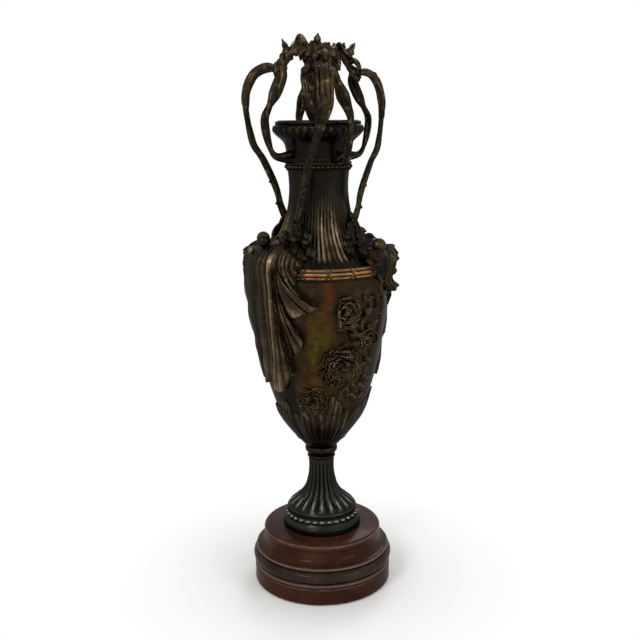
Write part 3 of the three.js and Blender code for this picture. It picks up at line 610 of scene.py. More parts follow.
def add_blade(bm, path, width, height, ribs, curl, root=0.4, widest=0.6, cells=(18, 30), worn=1.0):
    """A leaflet lying on the vase along a path of [azimuth, height] points: fine ribs run down it, its edges
    sink to the skin, and its round tip curls out."""
    along = cells[1]
    centre = smooth_path([Vector((a, 0, z)) for a, z in path], along)
    headings = [
        Vector((math.radians(q.x - p.x) * skin((p.z + q.z) / 2), q.z - p.z)).normalized()
        for p, q in neighbours(centre)
    ]

    def blade_point(u, s):
        t = 2 * u - 1
        k = round(s * along)
        aside = t * 0.5 * width * leaf_width(s, root, widest)
        azimuth = centre[k].x - math.degrees(aside * headings[k].y / skin(centre[k].z))
        z = centre[k].z + aside * headings[k].x
        rib = 0.5 + 0.5 * math.cos(math.pi * (ribs - 1) * t)
        tip = smoothstep((s - 0.72) / 0.28)
        body = (1 - abs(t) ** 3) * (0.45 + 0.55 * smoothstep(2 * s)) * (1 - 0.6 * tip)
        rise = height * body * (0.62 + 0.38 * rib) + curl * tip * (1 - 0.6 * abs(t)) + 0.5
        co = polar(skin(z) + rise, azimuth, z)
        raised = 0.5 * rib**3 * body + 0.45 * tip * (1 - abs(t))
        return co, 0.1 + worn * raised * (1 + 0.9 * grain(co, 7))

    add_grid(bm, *cells, blade_point)


def round_bar(u, width):
    """The offset (out, across) of a point on a round section, for swept."""
    return 0.5 * width * math.cos(2 * math.pi * u), 0.5 * width * math.sin(2 * math.pi * u)


def swept(bm, path, section, around, along):
    """Adds a closed bar along a path. section(u, v) gives the offset (out, across) in millimetres."""
    points = smooth_path(path, along)
    frames = []
    for p, (before, after) in zip(points, neighbours(points)):
        tangent = (after - before).normalized()
        across = Vector((p.y, -p.x, 0)).normalized()
        across = (across - tangent * across.dot(tangent)).normalized()
        frames.append((p, across.cross(tangent).normalized(), across))

    def bar_point(u, v):
        p, out, across = frames[round(v * along)]
        a, b = section(u, v)
        return p + (out * a + across * b) * MM, 0.3

    made = add_grid(bm, around, along, bar_point)
    bmesh.ops.remove_doubles(bm, verts=made, dist=1e-6)
    bmesh.ops.holes_fill(bm, edges=[e for e in bm.edges if e.is_boundary], sides=around + 2)


# Settings and operators

class UrnSettings(bpy.types.PropertyGroup):
    """Sizes and colours that a user would change."""

    patina_dark: bpy.props.StringProperty(
        name="Dark patina", description="Patina in the hollows, as an sRGB hex colour", default="#141009"
    )
    patina_brown: bpy.props.StringProperty(
        name="Brown patina", description="Patina on the open faces, as an sRGB hex colour", default="#2a2115"
    )
    rubbed_bronze: bpy.props.StringProperty(
        name="Rubbed bronze", description="Patina where hands rub it, as an sRGB hex colour", default="#463926"
    )
    worn_bronze: bpy.props.StringProperty(
        name="Worn bronze", description="Ridges of the leaves and stems, as an sRGB hex colour", default="#83705a"
    )
    worn_copper: bpy.props.StringProperty(
        name="Worn copper", description="Rubbed reeds of the band, as an sRGB hex colour", default="#98704a"
    )
    field_olive: bpy.props.StringProperty(
        name="Olive field", description="Cold paint of the flower field, as an sRGB hex colour", default="#33280a"
    )
    field_gold: bpy.props.StringProperty(
        name="Gold field", description="Brighter cold paint of the field, as an sRGB hex colour", default="#4a390f"
    )
    field_red: bpy.props.StringProperty(
        name="Fire red", description="Red cold paint of the field, as an sRGB hex colour", default="#522510"
    )
    wood_light: bpy.props.StringProperty(
        name="Mahogany", description="Stained wood of the base, as an sRGB hex colour", default="#4d2e20"
    )
    foot_flutes: bpy.props.IntProperty(
        name="Foot flutes", description="Flutes round the trumpet foot", default=20, min=8, max=40
    )
    neck_flutes: bpy.props.IntProperty(
        name="Neck flutes", description="Flutes round the neck", default=64, min=12, max=96
    )
    collar_beads: bpy.props.IntProperty(
        name="Collar beads", description="Beads round the collar", default=44, min=16, max=80
    )
    stem_width: bpy.props.FloatProperty(
        name="Stem width", description="Width of a handle stem in metres", default=0.0088, min=0.004,
        max=0.02, subtype="DISTANCE", unit="LENGTH"
    )
    camera_height: bpy.props.FloatProperty(
        name="Camera height", description="Height of the camera in metres", default=0.480, min=0.1,
        max=2.0, subtype="DISTANCE", unit="LENGTH"
    )
    camera_distance: bpy.props.FloatProperty(
        name="Camera distance", description="Distance of the camera from the axis in metres", default=0.907,
        min=0.3, max=5.0, subtype="DISTANCE", unit="LENGTH"
    )


def settings():
    return bpy.context.scene.urn_settings


class URN_OT_stage(bpy.types.Operator):
    """Adds the floor, the studio lamps, the world and the camera"""

    bl_idname = "urn.stage"
    bl_label = "Studio"

    def execute(self, context):
        make_materials(settings())
        build_stage(settings())
        return {"FINISHED"}


class URN_OT_base(bpy.types.Operator):
    """Turns the plinth, the torus and the socle of the wooden base"""

    bl_idname = "urn.base"
    bl_label = "Wooden base"

    def execute(self, context):
        build_base()
        return {"FINISHED"}


class URN_OT_foot(bpy.types.Operator):
    """Casts the skirt, the bead ring, the fluted trumpet and the knop"""

    bl_idname = "urn.foot"
    bl_label = "Foot"

    def execute(self, context):
        build_foot(settings())
        return {"FINISHED"}


class URN_OT_vase(bpy.types.Operator):
    """Casts the body, the reed band, the fluted shoulder, the collar and the lip"""

    bl_idname = "urn.vase"
    bl_label = "Vase"

    def execute(self, context):
        build_body()
        build_band()
        build_shoulder(settings())
        build_collar(settings())
        build_lip()
        return {"FINISHED"}


class URN_OT_leaves(bpy.types.Operator):
    """Lays the acanthus leaves, the scroll leaves and the calyx on the vase"""

    bl_idname = "urn.leaves"
    bl_label = "Leaf ornament"

    def execute(self, context):
        build_calyx()
        build_acanthus()
        build_scrolls()
        build_rosettes()
        return {"FINISHED"}


class URN_OT_flowers(bpy.types.Operator):
    """Lays the painted fields with their flower reliefs on the vase"""

    bl_idname = "urn.flowers"
    bl_label = "Flower fields"

    def execute(self, context):
        build_panels()
        return {"FINISHED"}


class URN_OT_handles(bpy.types.Operator):
    """Sweeps the outer and inner stems of the handles"""

    bl_idname = "urn.handles"
    bl_label = "Handles"

    def execute(self, context):
        build_stems(settings())
        return {"FINISHED"}


class URN_OT_crown(bpy.types.Operator):
    """Builds the hub and the leaves of the crown"""

    bl_idname = "urn.crown"
    bl_label = "Crown"

    def execute(self, context):
        build_crown()
        return {"FINISHED"}


class URN_OT_hardware(bpy.types.Operator):
    """Finishes the rod, nuts, washers, screws and the felt pad"""

    bl_idname = "urn.hardware"
    bl_label = "Hardware"

    def execute(self, context):
        finish_frame_nodes()
        return {"FINISHED"}


class URN_PT_panel(bpy.types.Panel):
    """Lists the urn's settings and pieces in the sidebar"""

    bl_idname = "URN_PT_panel"
    bl_label = "Bronze Vase Urn"
    bl_space_type = "VIEW_3D"
    bl_region_type = "UI"
    bl_category = "Urn"

    def draw(self, context):
        for name in UrnSettings.__annotations__:
            self.layout.prop(context.scene.urn_settings, name)
        for operator in OPERATORS:
            self.layout.operator(operator.bl_idname)


# Pieces

def build_base():
    """Three turned discs: a plinth, a dark moulding and a socle that has a cove under a round-edged disc."""
    r = wide("base_plinth")
    z_recess, recess_r = Z_PLINTH + 11, 15.0
    plinth = [(BORE_R, Z_TORUS), (BORE_R, z_recess), (recess_r, z_recess), (recess_r, Z_PLINTH)]
    plinth += [(r - 1.2, Z_PLINTH)] + arc(r - 1, Z_PLINTH + 1, 1.0, -80, 0, 4)
    plinth += [(r - 0.3, Z_PLINTH + 8)] + arc(r - 2.2, Z_TORUS - 2.2, 2.2, 0, 90, 6)
    # Paler rubbed top edge: partly wear, partly a painted highlight line.
    wear = rubbed((0.3, Z_TORUS - 0.8, 1.4), by=mottled(0.55, (0.6, 11)))
    finish_piece(spin_ring(plinth, 144), "turned_plinth", "mahogany", ["base_plinth"], 35, wear)

    # The torus is a fillet, a full roll and a thin bead; the red cove above it belongs to the socle
    r = wide("base_torus")
    roll, z_roll = 6.4, Z_TORUS + 4.2
    z_bead = Z_TORUS + 19.4
    z_cove = z_bead + 1.5
    torus = [(BORE_R, Z_TORUS), (r - 3.4, Z_TORUS)] + arc(r - 3.0, Z_TORUS + 1.7, 1.7, -70, 80, 6)
    torus += [(r - 3.2, z_roll - 0.2)] + arc(r - roll, z_roll + roll, roll, -82, 82, 18)
    torus += [(r - 4.6, z_bead - 1.9)] + arc(r - 4.4, z_bead, 1.4, -75, 80, 8)
    torus += [(r - 6.4, z_cove), (BORE_R, z_cove)]
    # Paler bead and fillet: partly wear, partly painted highlight lines.
    wear = rubbed((0.7, z_bead + 0.6, 1.2), (0.6, Z_TORUS + 2.6, 1.2))
    finish_piece(spin_ring(torus, 144), "turned_torus", "ebonised", ["base_torus"], 35, wear)

    r = wide("base_socle")
    z_disc = Z_FOOT - 6.5
    cove = [(7.2, z_cove + 0.6), (3.4, z_cove + 1.7), (-0.4, z_cove + 4.4), (-2.6, z_disc - 4), (-2.4, z_disc - 0.6)]
    curve = smooth_path([Vector((r + out, 0, z)) for out, z in cove], 14)
    socle = [(BORE_R, z_cove), (r + 7.6, z_cove)] + [(p.x, p.z) for p in curve]
    socle += arc(r - 1.1, z_disc + 0.9, 1.1, -85, 0, 4) + arc(r - 3.6, Z_FOOT - 3.6, 3.6, 0, 84, 9)
    socle += [(BORE_R, Z_FOOT)]
    # Paler rubbed disc edge: partly wear, partly a painted highlight line.
    wear = rubbed((0.5, Z_FOOT - 2.2, 1.6), by=mottled(0.7, (0.5, 9)))
    finish_piece(spin_ring(socle, 144), "turned_socle", "mahogany", ["base_socle"], 35, wear)


def build_foot(sizes):
    """A skirt, a ring of bold beads, a fluted trumpet and a knop."""
    r = wide("foot_skirt")
    ring = wide("foot_bead_ring")
    seat = ring - 10
    skirt = [(r - 3, Z_FOOT), (r - 0.6, Z_FOOT)] + arc(r - 0.9, Z_FOOT + 0.9, 0.9, -80, 0, 4)
    skirt += [(r - 0.1, Z_FOOT + 4.4)] + arc(r - 2.8, Z_FOOT + 5.4, 2.7, 10, 60, 6)
    skirt += [(ring + 0.2, Z_BEADS - 1.4), (ring - 0.8, Z_BEADS), (seat, Z_BEADS)]
    skirt += [(seat, Z_BEADS - WALL), (ring - WALL, Z_BEADS - WALL)]
    wear = rubbed((0.3, Z_BEADS - 2.5, 2.0))
    finish_piece(spin_ring(skirt, 120), "foot_skirt_casting", "patinated_foot", ["foot_skirt"], 35, wear)

    # Bold beads between a groove and a thin ring
    beads, bead_size = 30, 3.0
    bead_r, z_bead = ring - 2.4, Z_BEADS + 2.7
    groove = [(seat, Z_BEADS), (ring - 1.8, Z_BEADS), (bead_r, Z_BEADS + 2.6), (bead_r, Z_TRUMPET - 1.6)]
    groove += arc(wide("foot_trumpet") + 0.9, Z_TRUMPET - 0.8, 0.8, -60, 80, 5) + [(seat, Z_TRUMPET)]
    bm = spin_ring(groove, 144)
    for k in range(beads):
        add_ball(bm, polar(bead_r, 360 * k / beads, z_bead), bead_size, segments=14)
    wear = rubbed((0.85, z_bead + 0.9, 2.2))
    finish_piece(bm, "foot_beads", "patinated_foot", ["foot_bead_ring"], 60, wear, recalc=False)

    # Trumpet of round flutes, whose ends swell and turn under above the beads
    flutes = sizes.foot_flutes
    outer = TRUMPET.outline(Z_TRUMPET, Z_KNOP, 70)
    bm = spin_ring(outer + [(r - WALL, z) for r, z in outer[::-7]], flutes * 14)

    def share_and_wave(co):
        share = (co.z / MM - Z_TRUMPET) / (Z_KNOP - Z_TRUMPET)
        return share, abs(math.cos(flutes / 2 * math.radians(azimuth_of(co))))

    for v in bm.verts:
        radius = radius_of(v.co)
        if radius < TRUMPET.radius(v.co.z / MM) - 1:
            continue
        share, wave = share_and_wave(v.co)
        depth = 2.6 * min(1, radius / 24) * smoothstep((1 - share) * 6) * smoothstep((share - 0.07) * 14)
        end = 1.5 * bump(share, 0.19, 0.09) * (wave - 0.35) + 0.9 * bump(share, 0.06, 0.03)
        v.co += outward(v.co) * MM * (end + 0.3 - depth * (1 - wave**0.7))
        v.co.z += MM * 1.4 * bump(share, 0.13, 0.07) * (1 - wave)

    def flute_wear(v):
        share, wave = share_and_wave(v.co)
        backs = wave**5 * (0.75 * bump(share, 0.2, 0.13) + 0.24) * smoothstep(20 * share - 1.6)
        return backs + 0.4 * bump(share, 0.06, 0.025)

    finish_piece(bm, "fluted_trumpet", "patinated_foot", ["foot_trumpet"], 60, flute_wear)

    r = wide("knop")
    z_swell, swell = Z_KNOP + 10.0, 4.8
    knop = [(BORE_R, Z_KNOP), (r - 4.0, Z_KNOP)] + arc(r - 3.9, Z_KNOP + 2.0, 1.7, -80, 80, 7)
    knop += [(r - 4.2, Z_KNOP + 4.2)] + arc(r - swell, z_swell, swell, -75, 75, 14)
    knop += [(r - 3.6, Z_BODY - 0.8), (r - 2.6, Z_BODY), (BORE_R, Z_BODY)]
    wear = rubbed((0.2, z_swell + 1, 3), (0.15, Z_KNOP + 2.4, 1.3))
    finish_piece(spin_ring(knop, 96), "knop_casting", "patinated_bronze", ["knop"], 40, wear)


def build_body():
    """The hollow body, with a thick floor that the rod clamps."""
    outer = VASE.outline(Z_BODY, Z_BAND, 64)
    inner = [(r - WALL, z) for r, z in outer[:8:-4] if z > Z_BODY + 11]
    z_floor = Z_BODY + 8
    profile = [(BORE_R, Z_BODY)] + outer + inner + [(26, z_floor), (BORE_R, z_floor)]
    wear = mottled(0.08, (0.1, 20))
    finish_piece(spin_ring(profile, 160), "body_casting", "patinated_bronze", ["body_shell"], 40, wear)


def build_band():
    """Three reeds bound with crossed ribbons, the copper-bright ring at the widest place."""
    r = BAND_R
    reed = (Z_SHOULDER - Z_BAND) / 3
    profile = [(r - 8, Z_BAND), (r - 2.4, Z_BAND)]
    for k, inset in enumerate((0.7, 0.0, 0.7)):
        profile += arc(r - reed / 2 - inset, Z_BAND + reed * (k + 0.5), reed / 2, -76, 76, 8)
    profile += [(r - 2.4, Z_SHOULDER), (r - 8, Z_SHOULDER)]

    def reed_wear(v):
        outside = smoothstep((radius_of(v.co) - (r - 1.9)) / 1.6)
        return 0.1 + 0.9 * outside * (0.75 + 0.4 * grain(v.co, 12))

    finish_piece(spin_ring(profile, 216), "reeded_band", "copper_bronze", ["reed_band"], 50, reed_wear)

    bm = bmesh.new()
    ties, width = 18, 2.6
    for k in range(ties):
        for lean in (-6, 6):

            def ribbon(u, v):
                z = lerp(Z_BAND - 0.4, Z_SHOULDER + 0.4, v)
                radius = r + 0.9 * math.cos(math.pi * (u - 0.5)) - 2.2 * abs(2 * v - 1) ** 5
                azimuth = 360 * k / ties + 7 + lean * (v - 0.5) + math.degrees((u - 0.5) * width / r)
                return polar(radius, azimuth, z), 0.3

            add_grid(bm, 6, 14, ribbon)
    sink_edges(bm, 3.0)
    finish_piece(bm, "band_ribbons", "copper_bronze", wear=mottled(0.3, (0.3, 6)))


def build_shoulder(sizes):
    """Shoulder and lower neck: fine ridges that fall and spread like cloth below a plain neck."""
    flutes = sizes.neck_flutes
    outer = SHOULDER.outline(Z_SHOULDER, Z_COLLAR, 84)
    bm = spin_ring(outer + [(r - WALL - 1.2, z) for r, z in outer[::-4]], flutes * 6)
    worn = {}
    for v in bm.verts:
        z, azimuth, radius = v.co.z / MM, azimuth_of(v.co), radius_of(v.co)
        if radius < SHOULDER.radius(z) - 1:
            continue
        sway = 1.4 * math.sin(0.045 * (z - Z_SHOULDER) + 3 * math.radians(azimuth))
        back = abs(math.cos(flutes / 2 * math.radians(azimuth + sway)))
        depth = smoothstep((z - Z_SHOULDER - 2) / 6) * smoothstep((Z_COLLAR - 16 - z) / 26)
        uneven = 1 + 0.5 * math.sin(16 * math.radians(azimuth) + 1) + 0.5 * grain(v.co, 11)
        # The ridge backs are paler low down and between the outer stems; where each outer stem comes down over them
        # they are kept dark, which is painted shade.
        between = bump((azimuth + 30) % 90 - 45, 0, 36)
        here = between * depth * uneven * lerp(0.25, 1.0, bump(z, Z_SHOULDER + 14, 52))
        worn[v.index] = 0.04 + (0.12 + 0.88 * back**2) * here
        v.co -= outward(v.co) * MM * depth * min(2.2, radius / 22) * (1 - back**0.8) * (0.7 + 0.3 * uneven)

    def ridge_wear_and_shade(v):
        return worn.get(v.index, 0) + 0.06 * grain(v.co, 10)

    finish_piece(bm, "fluted_shoulder", "patinated_bronze", ["shoulder_shell"], 60, ridge_wear_and_shade)


def build_collar(sizes):
    """A row of small beads between two thin rings."""
    r, inner = COLLAR_R, 27.5
    mid = (Z_COLLAR + Z_LIP) / 2 - 0.4
    profile = [(inner, Z_COLLAR), (r - 2.2, Z_COLLAR)] + arc(r - 2.3, Z_COLLAR + 0.8, 0.8, -70, 70, 5)
    profile += [(r - 2.8, Z_COLLAR + 1.8), (r - 2.8, Z_LIP - 2.2)]
    profile += arc(r - 1.7, Z_LIP - 1.1, 1.1, -70, 70, 6) + [(inner, Z_LIP)]
    wear = rubbed((0.35, Z_LIP - 0.8, 1.2))
    finish_piece(spin_ring(profile, 128), "collar_ring", "patinated_bronze", ["beaded_collar"], 50, wear)
    bm = bmesh.new()
    for k in range(sizes.collar_beads):
        add_ball(bm, polar(r - 1.9, 360 * k / sizes.collar_beads, mid), 2.1, segments=10)
    finish_piece(bm, "collar_beads", "patinated_bronze", smooth=80, wear=rubbed((0.5, mid + 0.8, 1.8)))


def build_lip():
    """Upper neck and flared lip, with a row of egg-shaped leaves under the rim."""
    r = wide("lip_neck")
    eggs, z_eggs = 34, Z_RIM - 10
    outer = LIP.outline(Z_LIP, z_eggs, 36)
    lip = arc(r - 3.4, z_eggs + 2.2, 3.4, -10, 60, 9) + [(r - 3.2, z_eggs + 6.0)]
    lip += arc(r - 4.2, z_eggs + 7.4, 1.7, -50, 70, 7)
    lip += [(r - 5.0, Z_RIM - 0.6), (r - 6.0, Z_RIM), (r - 8, Z_RIM), (r - 9, Z_RIM - 3)]
    bm = spin_ring(outer + lip + [(a - WALL, z) for a, z in outer[-3::-4]], eggs * 8)

    def egg(co):
        return abs(math.sin(eggs / 2 * math.radians(azimuth_of(co))))

    for v in bm.verts:
        z = v.co.z / MM
        if radius_of(v.co) >= LIP.radius(min(z, z_eggs)) - 2.5 and z >= z_eggs - 9:
            v.co += outward(v.co) * MM * 1.5 * (egg(v.co) ** 0.6 - 0.85) * bump(z, z_eggs - 0.5, 7)

    def lip_wear(v):
        z = v.co.z / MM
        return 0.38 * bump(z, z_eggs + 1, 4) * egg(v.co) ** 4 + 0.2 * bump(z, Z_RIM - 1.5, 1.6)

    finish_piece(bm, "lip_casting", "patinated_bronze", ["lip_neck"], 55, lip_wear)

    z_ring = Z_LIP + 3
    neck_r = LIP.radius(z_ring)
    ring = arc(neck_r - 0.4, z_ring, 1.2, -90, 90, 6) + [(neck_r - 2, z_ring + 1.2), (neck_r - 2, z_ring - 1.2)]
    finish_piece(spin_ring(ring, 96), "neck_ring", "patinated_bronze", smooth=50, wear=mottled(0.18))


def build_calyx():
    """Low blades that hold the bottom of the body: broad ones over narrow ones, all with rounded tips."""
    random.seed(5)
    foot = low("acanthus_calyx")
    top = high("acanthus_calyx")
    count = 11
    bm = bmesh.new()
    for k in range(count):
        start = 360 * k / count
        tip = top - random.uniform(10, 22)
        path = [(start, foot + 2), (start + random.uniform(-4, 4), lerp(foot, tip, 0.5)), (start - 1, tip)]
        add_blade(bm, path, random.uniform(11, 16), height=1.2, ribs=3, curl=0.3, worn=0.9)
    for k in range(count):
        start = 360 * (k + 0.5) / count
        tip = lerp(foot, top, random.uniform(0.66, 0.92))
        path = [(start, foot + 1), (start - 1, lerp(foot, top, 0.4)), (start + random.uniform(-5, 7), tip)]
        add_blade(bm, path, random.uniform(18, 25), height=2.2, ribs=5, curl=0.6, root=0.5, widest=0.55, worn=0.9)
    sink_edges(bm, 2.6)
    finish_piece(bm, "calyx_leaves", "patinated_bronze", ["acanthus_calyx"])


# The large leaf follows the frame's. Going round its edge from the left, a row is the turn from the mid-rib,
# the share of the height, and 1 on the tip of a lobe or 0 in a hollow.
LEAF_EDGE = [
    (-36, 0.85, 1), (-39, 0.73, 0), (-45, 0.6, 1), (-42, 0.5, 0), (-47, 0.35, 1), (-42, 0.23, 0),
    (-45, 0.11, 1), (-38, 0.035, 1), (-28, 0.075, 0), (-18, 0.035, 1), (-9, 0.07, 0), (2, 0.005, 1),
    (10, 0.02, 1), (17, 0.11, 0), (24, 0.15, 1), (21, 0.255, 0), (33, 0.335, 1), (35, 0.4, 1),
    (22, 0.525, 0), (39, 0.585, 1), (47, 0.63, 1), (35, 0.68, 1), (29, 0.75, 0), (31, 0.82, 0), (34, 0.87, 1),
]
LEAF_AZIMUTH = -48
# Turn of a strand's start on the top edge, by its share of the way round
LEAF_ROOTS = [(0, -34), (0.3, -13), (0.48, 12), (0.83, 17), (0.92, 23), (1, 33)]
# Outside of the leaf: relief by the share of the height, then shares of the hang up and out from the band
LEAF_LOW = [(0, 3.2), (0.13, 2.9), (0.31, 3.2), (0.48, 4.8), (0.63, 6.0)]
LEAF_HANG = [(-1, 0.23), (-0.57, 0.27), (-0.1, 0.32), (0.33, 0.24), (0.7, -0.07), (0.96, -0.5), (1, -1)]
# Balls on the front leaf and leaves of its crest: azimuth, radius, height, then size and wear of a ball, or
# heading, length and width of a leaf
LEAF_BALLS = [(-54, 66, 367, 6.0, 0.12), (-65, 73, 357.5, 3.4, 0.8)]
CREST_LEAVES = [
    (-45, 50, 366, -30, 17, 9), (-37, 49, 368, 0, 16, 10), (-29, 48, 369, 20, 17, 9), (-20, 47, 366, 40, 15, 9),
    (-41, 46, 373, -10, 12, 8), (-25, 45, 374, 20, 12, 8), (-58, 56, 362, -50, 11, 8),
]
CREST_CUT = dict(slopes=(64, -70), cup=-0.2, lobes=3, root=0.5, wave=0.8, cells=(10, 18), worn=0.35)

# The scroll leaf at the side, laid out in the same way, and its section as [height, radius]
SCROLL_EDGE = [
    (-23, 0.92, 1), (-24, 0.76, 1), (-21, 0.64, 0), (-23, 0.5, 1), (-15, 0.44, 0), (-15, 0.3, 1), (-7, 0.26, 0),
    (-5, 0.12, 1), (2, 0.11, 0), (5, 0.0, 1), (12, 0.0, 1), (17, 0.08, 1), (14, 0.2, 0), (20, 0.32, 1), (19, 0.46, 0),
    (23, 0.6, 1), (22, 0.78, 1), (22, 0.92, 1),
]
SCROLL_AZIMUTH = 68
SCROLL_ROOTS = [(0, -21), (0.35, -10), (0.6, 4), (0.8, 14), (1, 21)]
SCROLL_SECTION = [
    (314, 72.6), (318, 75.0), (323, 72.0), (330, 72.4), (338, 74.8), (345, 76.2), (352, 74.4), (358, 70), (362, 63),
    (363, 55),
]
SCROLL_BALLS = [(61, 66, 361, 7.0, 0.45), (68, 70, 352, 5.4, 0.25)]
SCROLL_CURLS = [(76, 60, 348, 10, 19, 12), (48, 62, 348, -20, 13, 10)]
CURL_CUT = dict(slopes=(66, -110), cup=-0.2, root=0.7, wave=0.4, cells=(14, 22), worn=0.4)


def leaf_section(z_tip, z_top):
    """Radius of the large leaf's outside, as [height, radius] rows."""
    hang = z_top - Z_SHOULDER
    rows = [(skin(lerp(z_tip, z_top, rise)) + relief, lerp(z_tip, z_top, rise)) for rise, relief in LEAF_LOW]
    rows += [(BAND_R + hang * out, Z_SHOULDER + hang * up) for up, out in LEAF_HANG]
    return [(p.z, p.x) for p in smooth_path([Vector((r, 0, z)) for r, z in rows], 120)]


def strand_sheet(bm, edge, roots, azimuth, heights, droop, section, creases, shape):
    """A sheet of strands that start on the top edge of a leaf and sweep down and out to the points of its edge.
    Fine creases run along the strands, and shape(u, v, azimuth, z) adds its own lift and wear; on the large leaf that
    wear holds a painted highlight."""
    last = len(edge) - 1
    z_tip, z_top = heights

    def strand_point(u, v):
        x = u * last
        k = min(int(x), last - 1)
        sweep, rise, tip = (lerp(a, b, smoothstep(x - k)) for a, b in zip(edge[k], edge[k + 1]))
        root = ramp(roots, u)
        fall = v**1.4
        z = lerp(z_top - droop * (root / roots[0][1]) ** 2, lerp(z_tip, z_top, rise), fall)
        here = azimuth + lerp(root, sweep, fall**3)

        # Broad creases and fine ones, stronger on the free side of the leaf
        phase = creases * x / last + 0.16 * math.sin(5 * v + 1.3 * x)
        crease = 0.5 + 0.5 * math.cos(2 * math.pi * phase)
        fine = 0.5 + 0.5 * math.cos(2 * math.pi * (2.3 * phase + 0.3))
        fade = smoothstep(5 * v)
        free = smoothstep((u - 0.3) / 0.12)
        finer = lerp(0.6, 1.1, free * smoothstep(2 * v - 0.6))
        lift = (1.2 * (2 * tip - 1) - 1.4 * (1 - tip)) * v**1.5
        lift += free * 2.4 * tip * smoothstep((v - 0.82) / 0.18)
        lift += fade * lerp(0.25, 1, free) * (1.9 * crease**0.7 - 1.5 + finer * fine)
        lift += 0.9 * grain(polar(60, here, z), 13)
        more, wear_and_painted_highlight = shape(u, v, here, z)
        co = polar(ramp(section, z) + lift + more, here, z)
        worn = 0.14 + lerp(0.5, 1, free) * (crease**3 * (0.22 + 0.22 * fade) + 0.26 * fine**2)
        worn += 0.25 * tip * smoothstep((v - 0.86) / 0.14)
        return co, worn * (0.85 + 0.5 * grain(co, 18)) + wear_and_painted_highlight

    add_grid(bm, last * 12, 110, strand_point)


def stand_leaves(bm, rows, turn, cut):
    """Adds leaves that stand level with the ground, from rows of azimuth, radius, height, heading and size."""
    for azimuth, r, z, heading, length, width in rows:
        place = Matrix.Identity(4), polar(r, azimuth + turn, z)
        add_leaf(bm, place, azimuth + turn - 90 + heading, length, width, **cut)


def build_acanthus():
    """The large leaf: its top hangs over the band like cloth, and strands run down and out to the lobes."""
    z_tip = low("acanthus_leaf_front")
    z_top = high("acanthus_leaf_front")
    section = leaf_section(z_tip, z_top)
    for side, turn in HALVES.items():

        def shape(u, v, azimuth, z):
            mid = crest(u - 0.48, 0.05) * smoothstep(6 * v)
            rear = smoothstep((0.3 - u) / 0.1) if side == "back" else 0.0
            # Painted highlight: a bright patch put into the wear near the top of the mid-rib.
            wear_and_painted_highlight = 0.85 * bump(azimuth - turn, -35.5, 4.5) * bump(z, 351, 10)
            lower = 2.6 * smoothstep((0.3 - u) / 0.2) * bump(z, 351, 18)
            return 2.0 * mid - 2.6 * rear - lower, 0.2 * mid + wear_and_painted_highlight - 0.4 * rear

        bm = bmesh.new()
        strand_sheet(bm, LEAF_EDGE, LEAF_ROOTS, LEAF_AZIMUTH + turn, (z_tip, z_top), 14, section, 26, shape)
        sink_edges(bm)
        if side == "front":
            for azimuth, r, z, radius, worn in LEAF_BALLS:
                add_ball(bm, polar(r, azimuth, z), radius, worn, 20)
        finish_piece(bm, "acanthus_drape_" + side, "patinated_bronze", ["acanthus_leaf_" + side], 75)

        bm = bmesh.new()
        stand_leaves(bm, CREST_LEAVES, turn, CREST_CUT)
        finish_piece(bm, "acanthus_crest_" + side, "patinated_bronze", smooth=70, thick=1.0)


def build_scrolls():
    """Scroll leaves at the sides: each rolls over the band in deep pleats and curls out at its tip."""
    heights = low("scroll_leaf_front"), high("scroll_leaf_front")
    curve = smooth_path([Vector((r, 0, z)) for z, r in SCROLL_SECTION], 80)
    section = [(p.z, p.x) for p in curve]
    for side, turn in HALVES.items():

        def shape(u, v, azimuth, z):
            here = azimuth - turn
            tucked = 4.0 * smoothstep((v - 0.7) / 0.3) if side == "back" else 0.0
            hollow = 4.5 * bump(here, 71, 6) * bump(z, 351, 7) + 3.0 * bump(here, 48, 5) * bump(z, 340, 8)
            return 1.2 * math.sin(1.3 * here + 0.2 * z) - hollow - tucked, -0.12

        bm = bmesh.new()
        strand_sheet(bm, SCROLL_EDGE, SCROLL_ROOTS, SCROLL_AZIMUTH + turn, heights, 7, section, 13, shape)
        sink_edges(bm)
        for azimuth, r, z, radius, worn in SCROLL_BALLS:
            add_ball(bm, polar(r, azimuth + turn, z), radius, worn, 22)
        finish_piece(bm, "scroll_leaf_casting_" + side, "patinated_bronze", ["scroll_leaf_" + side], 65)

        bm = bmesh.new()
        stand_leaves(bm, SCROLL_CURLS, turn, CURL_CUT)
        finish_piece(bm, "scroll_curls_" + side, "patinated_bronze", thick=2.0)


FOOT_TURN = -35.0
ROSETTE_CUT = dict(cup=-0.18, lobes=2, root=0.3, wave=0.8, cells=(12, 20), worn=0.24)


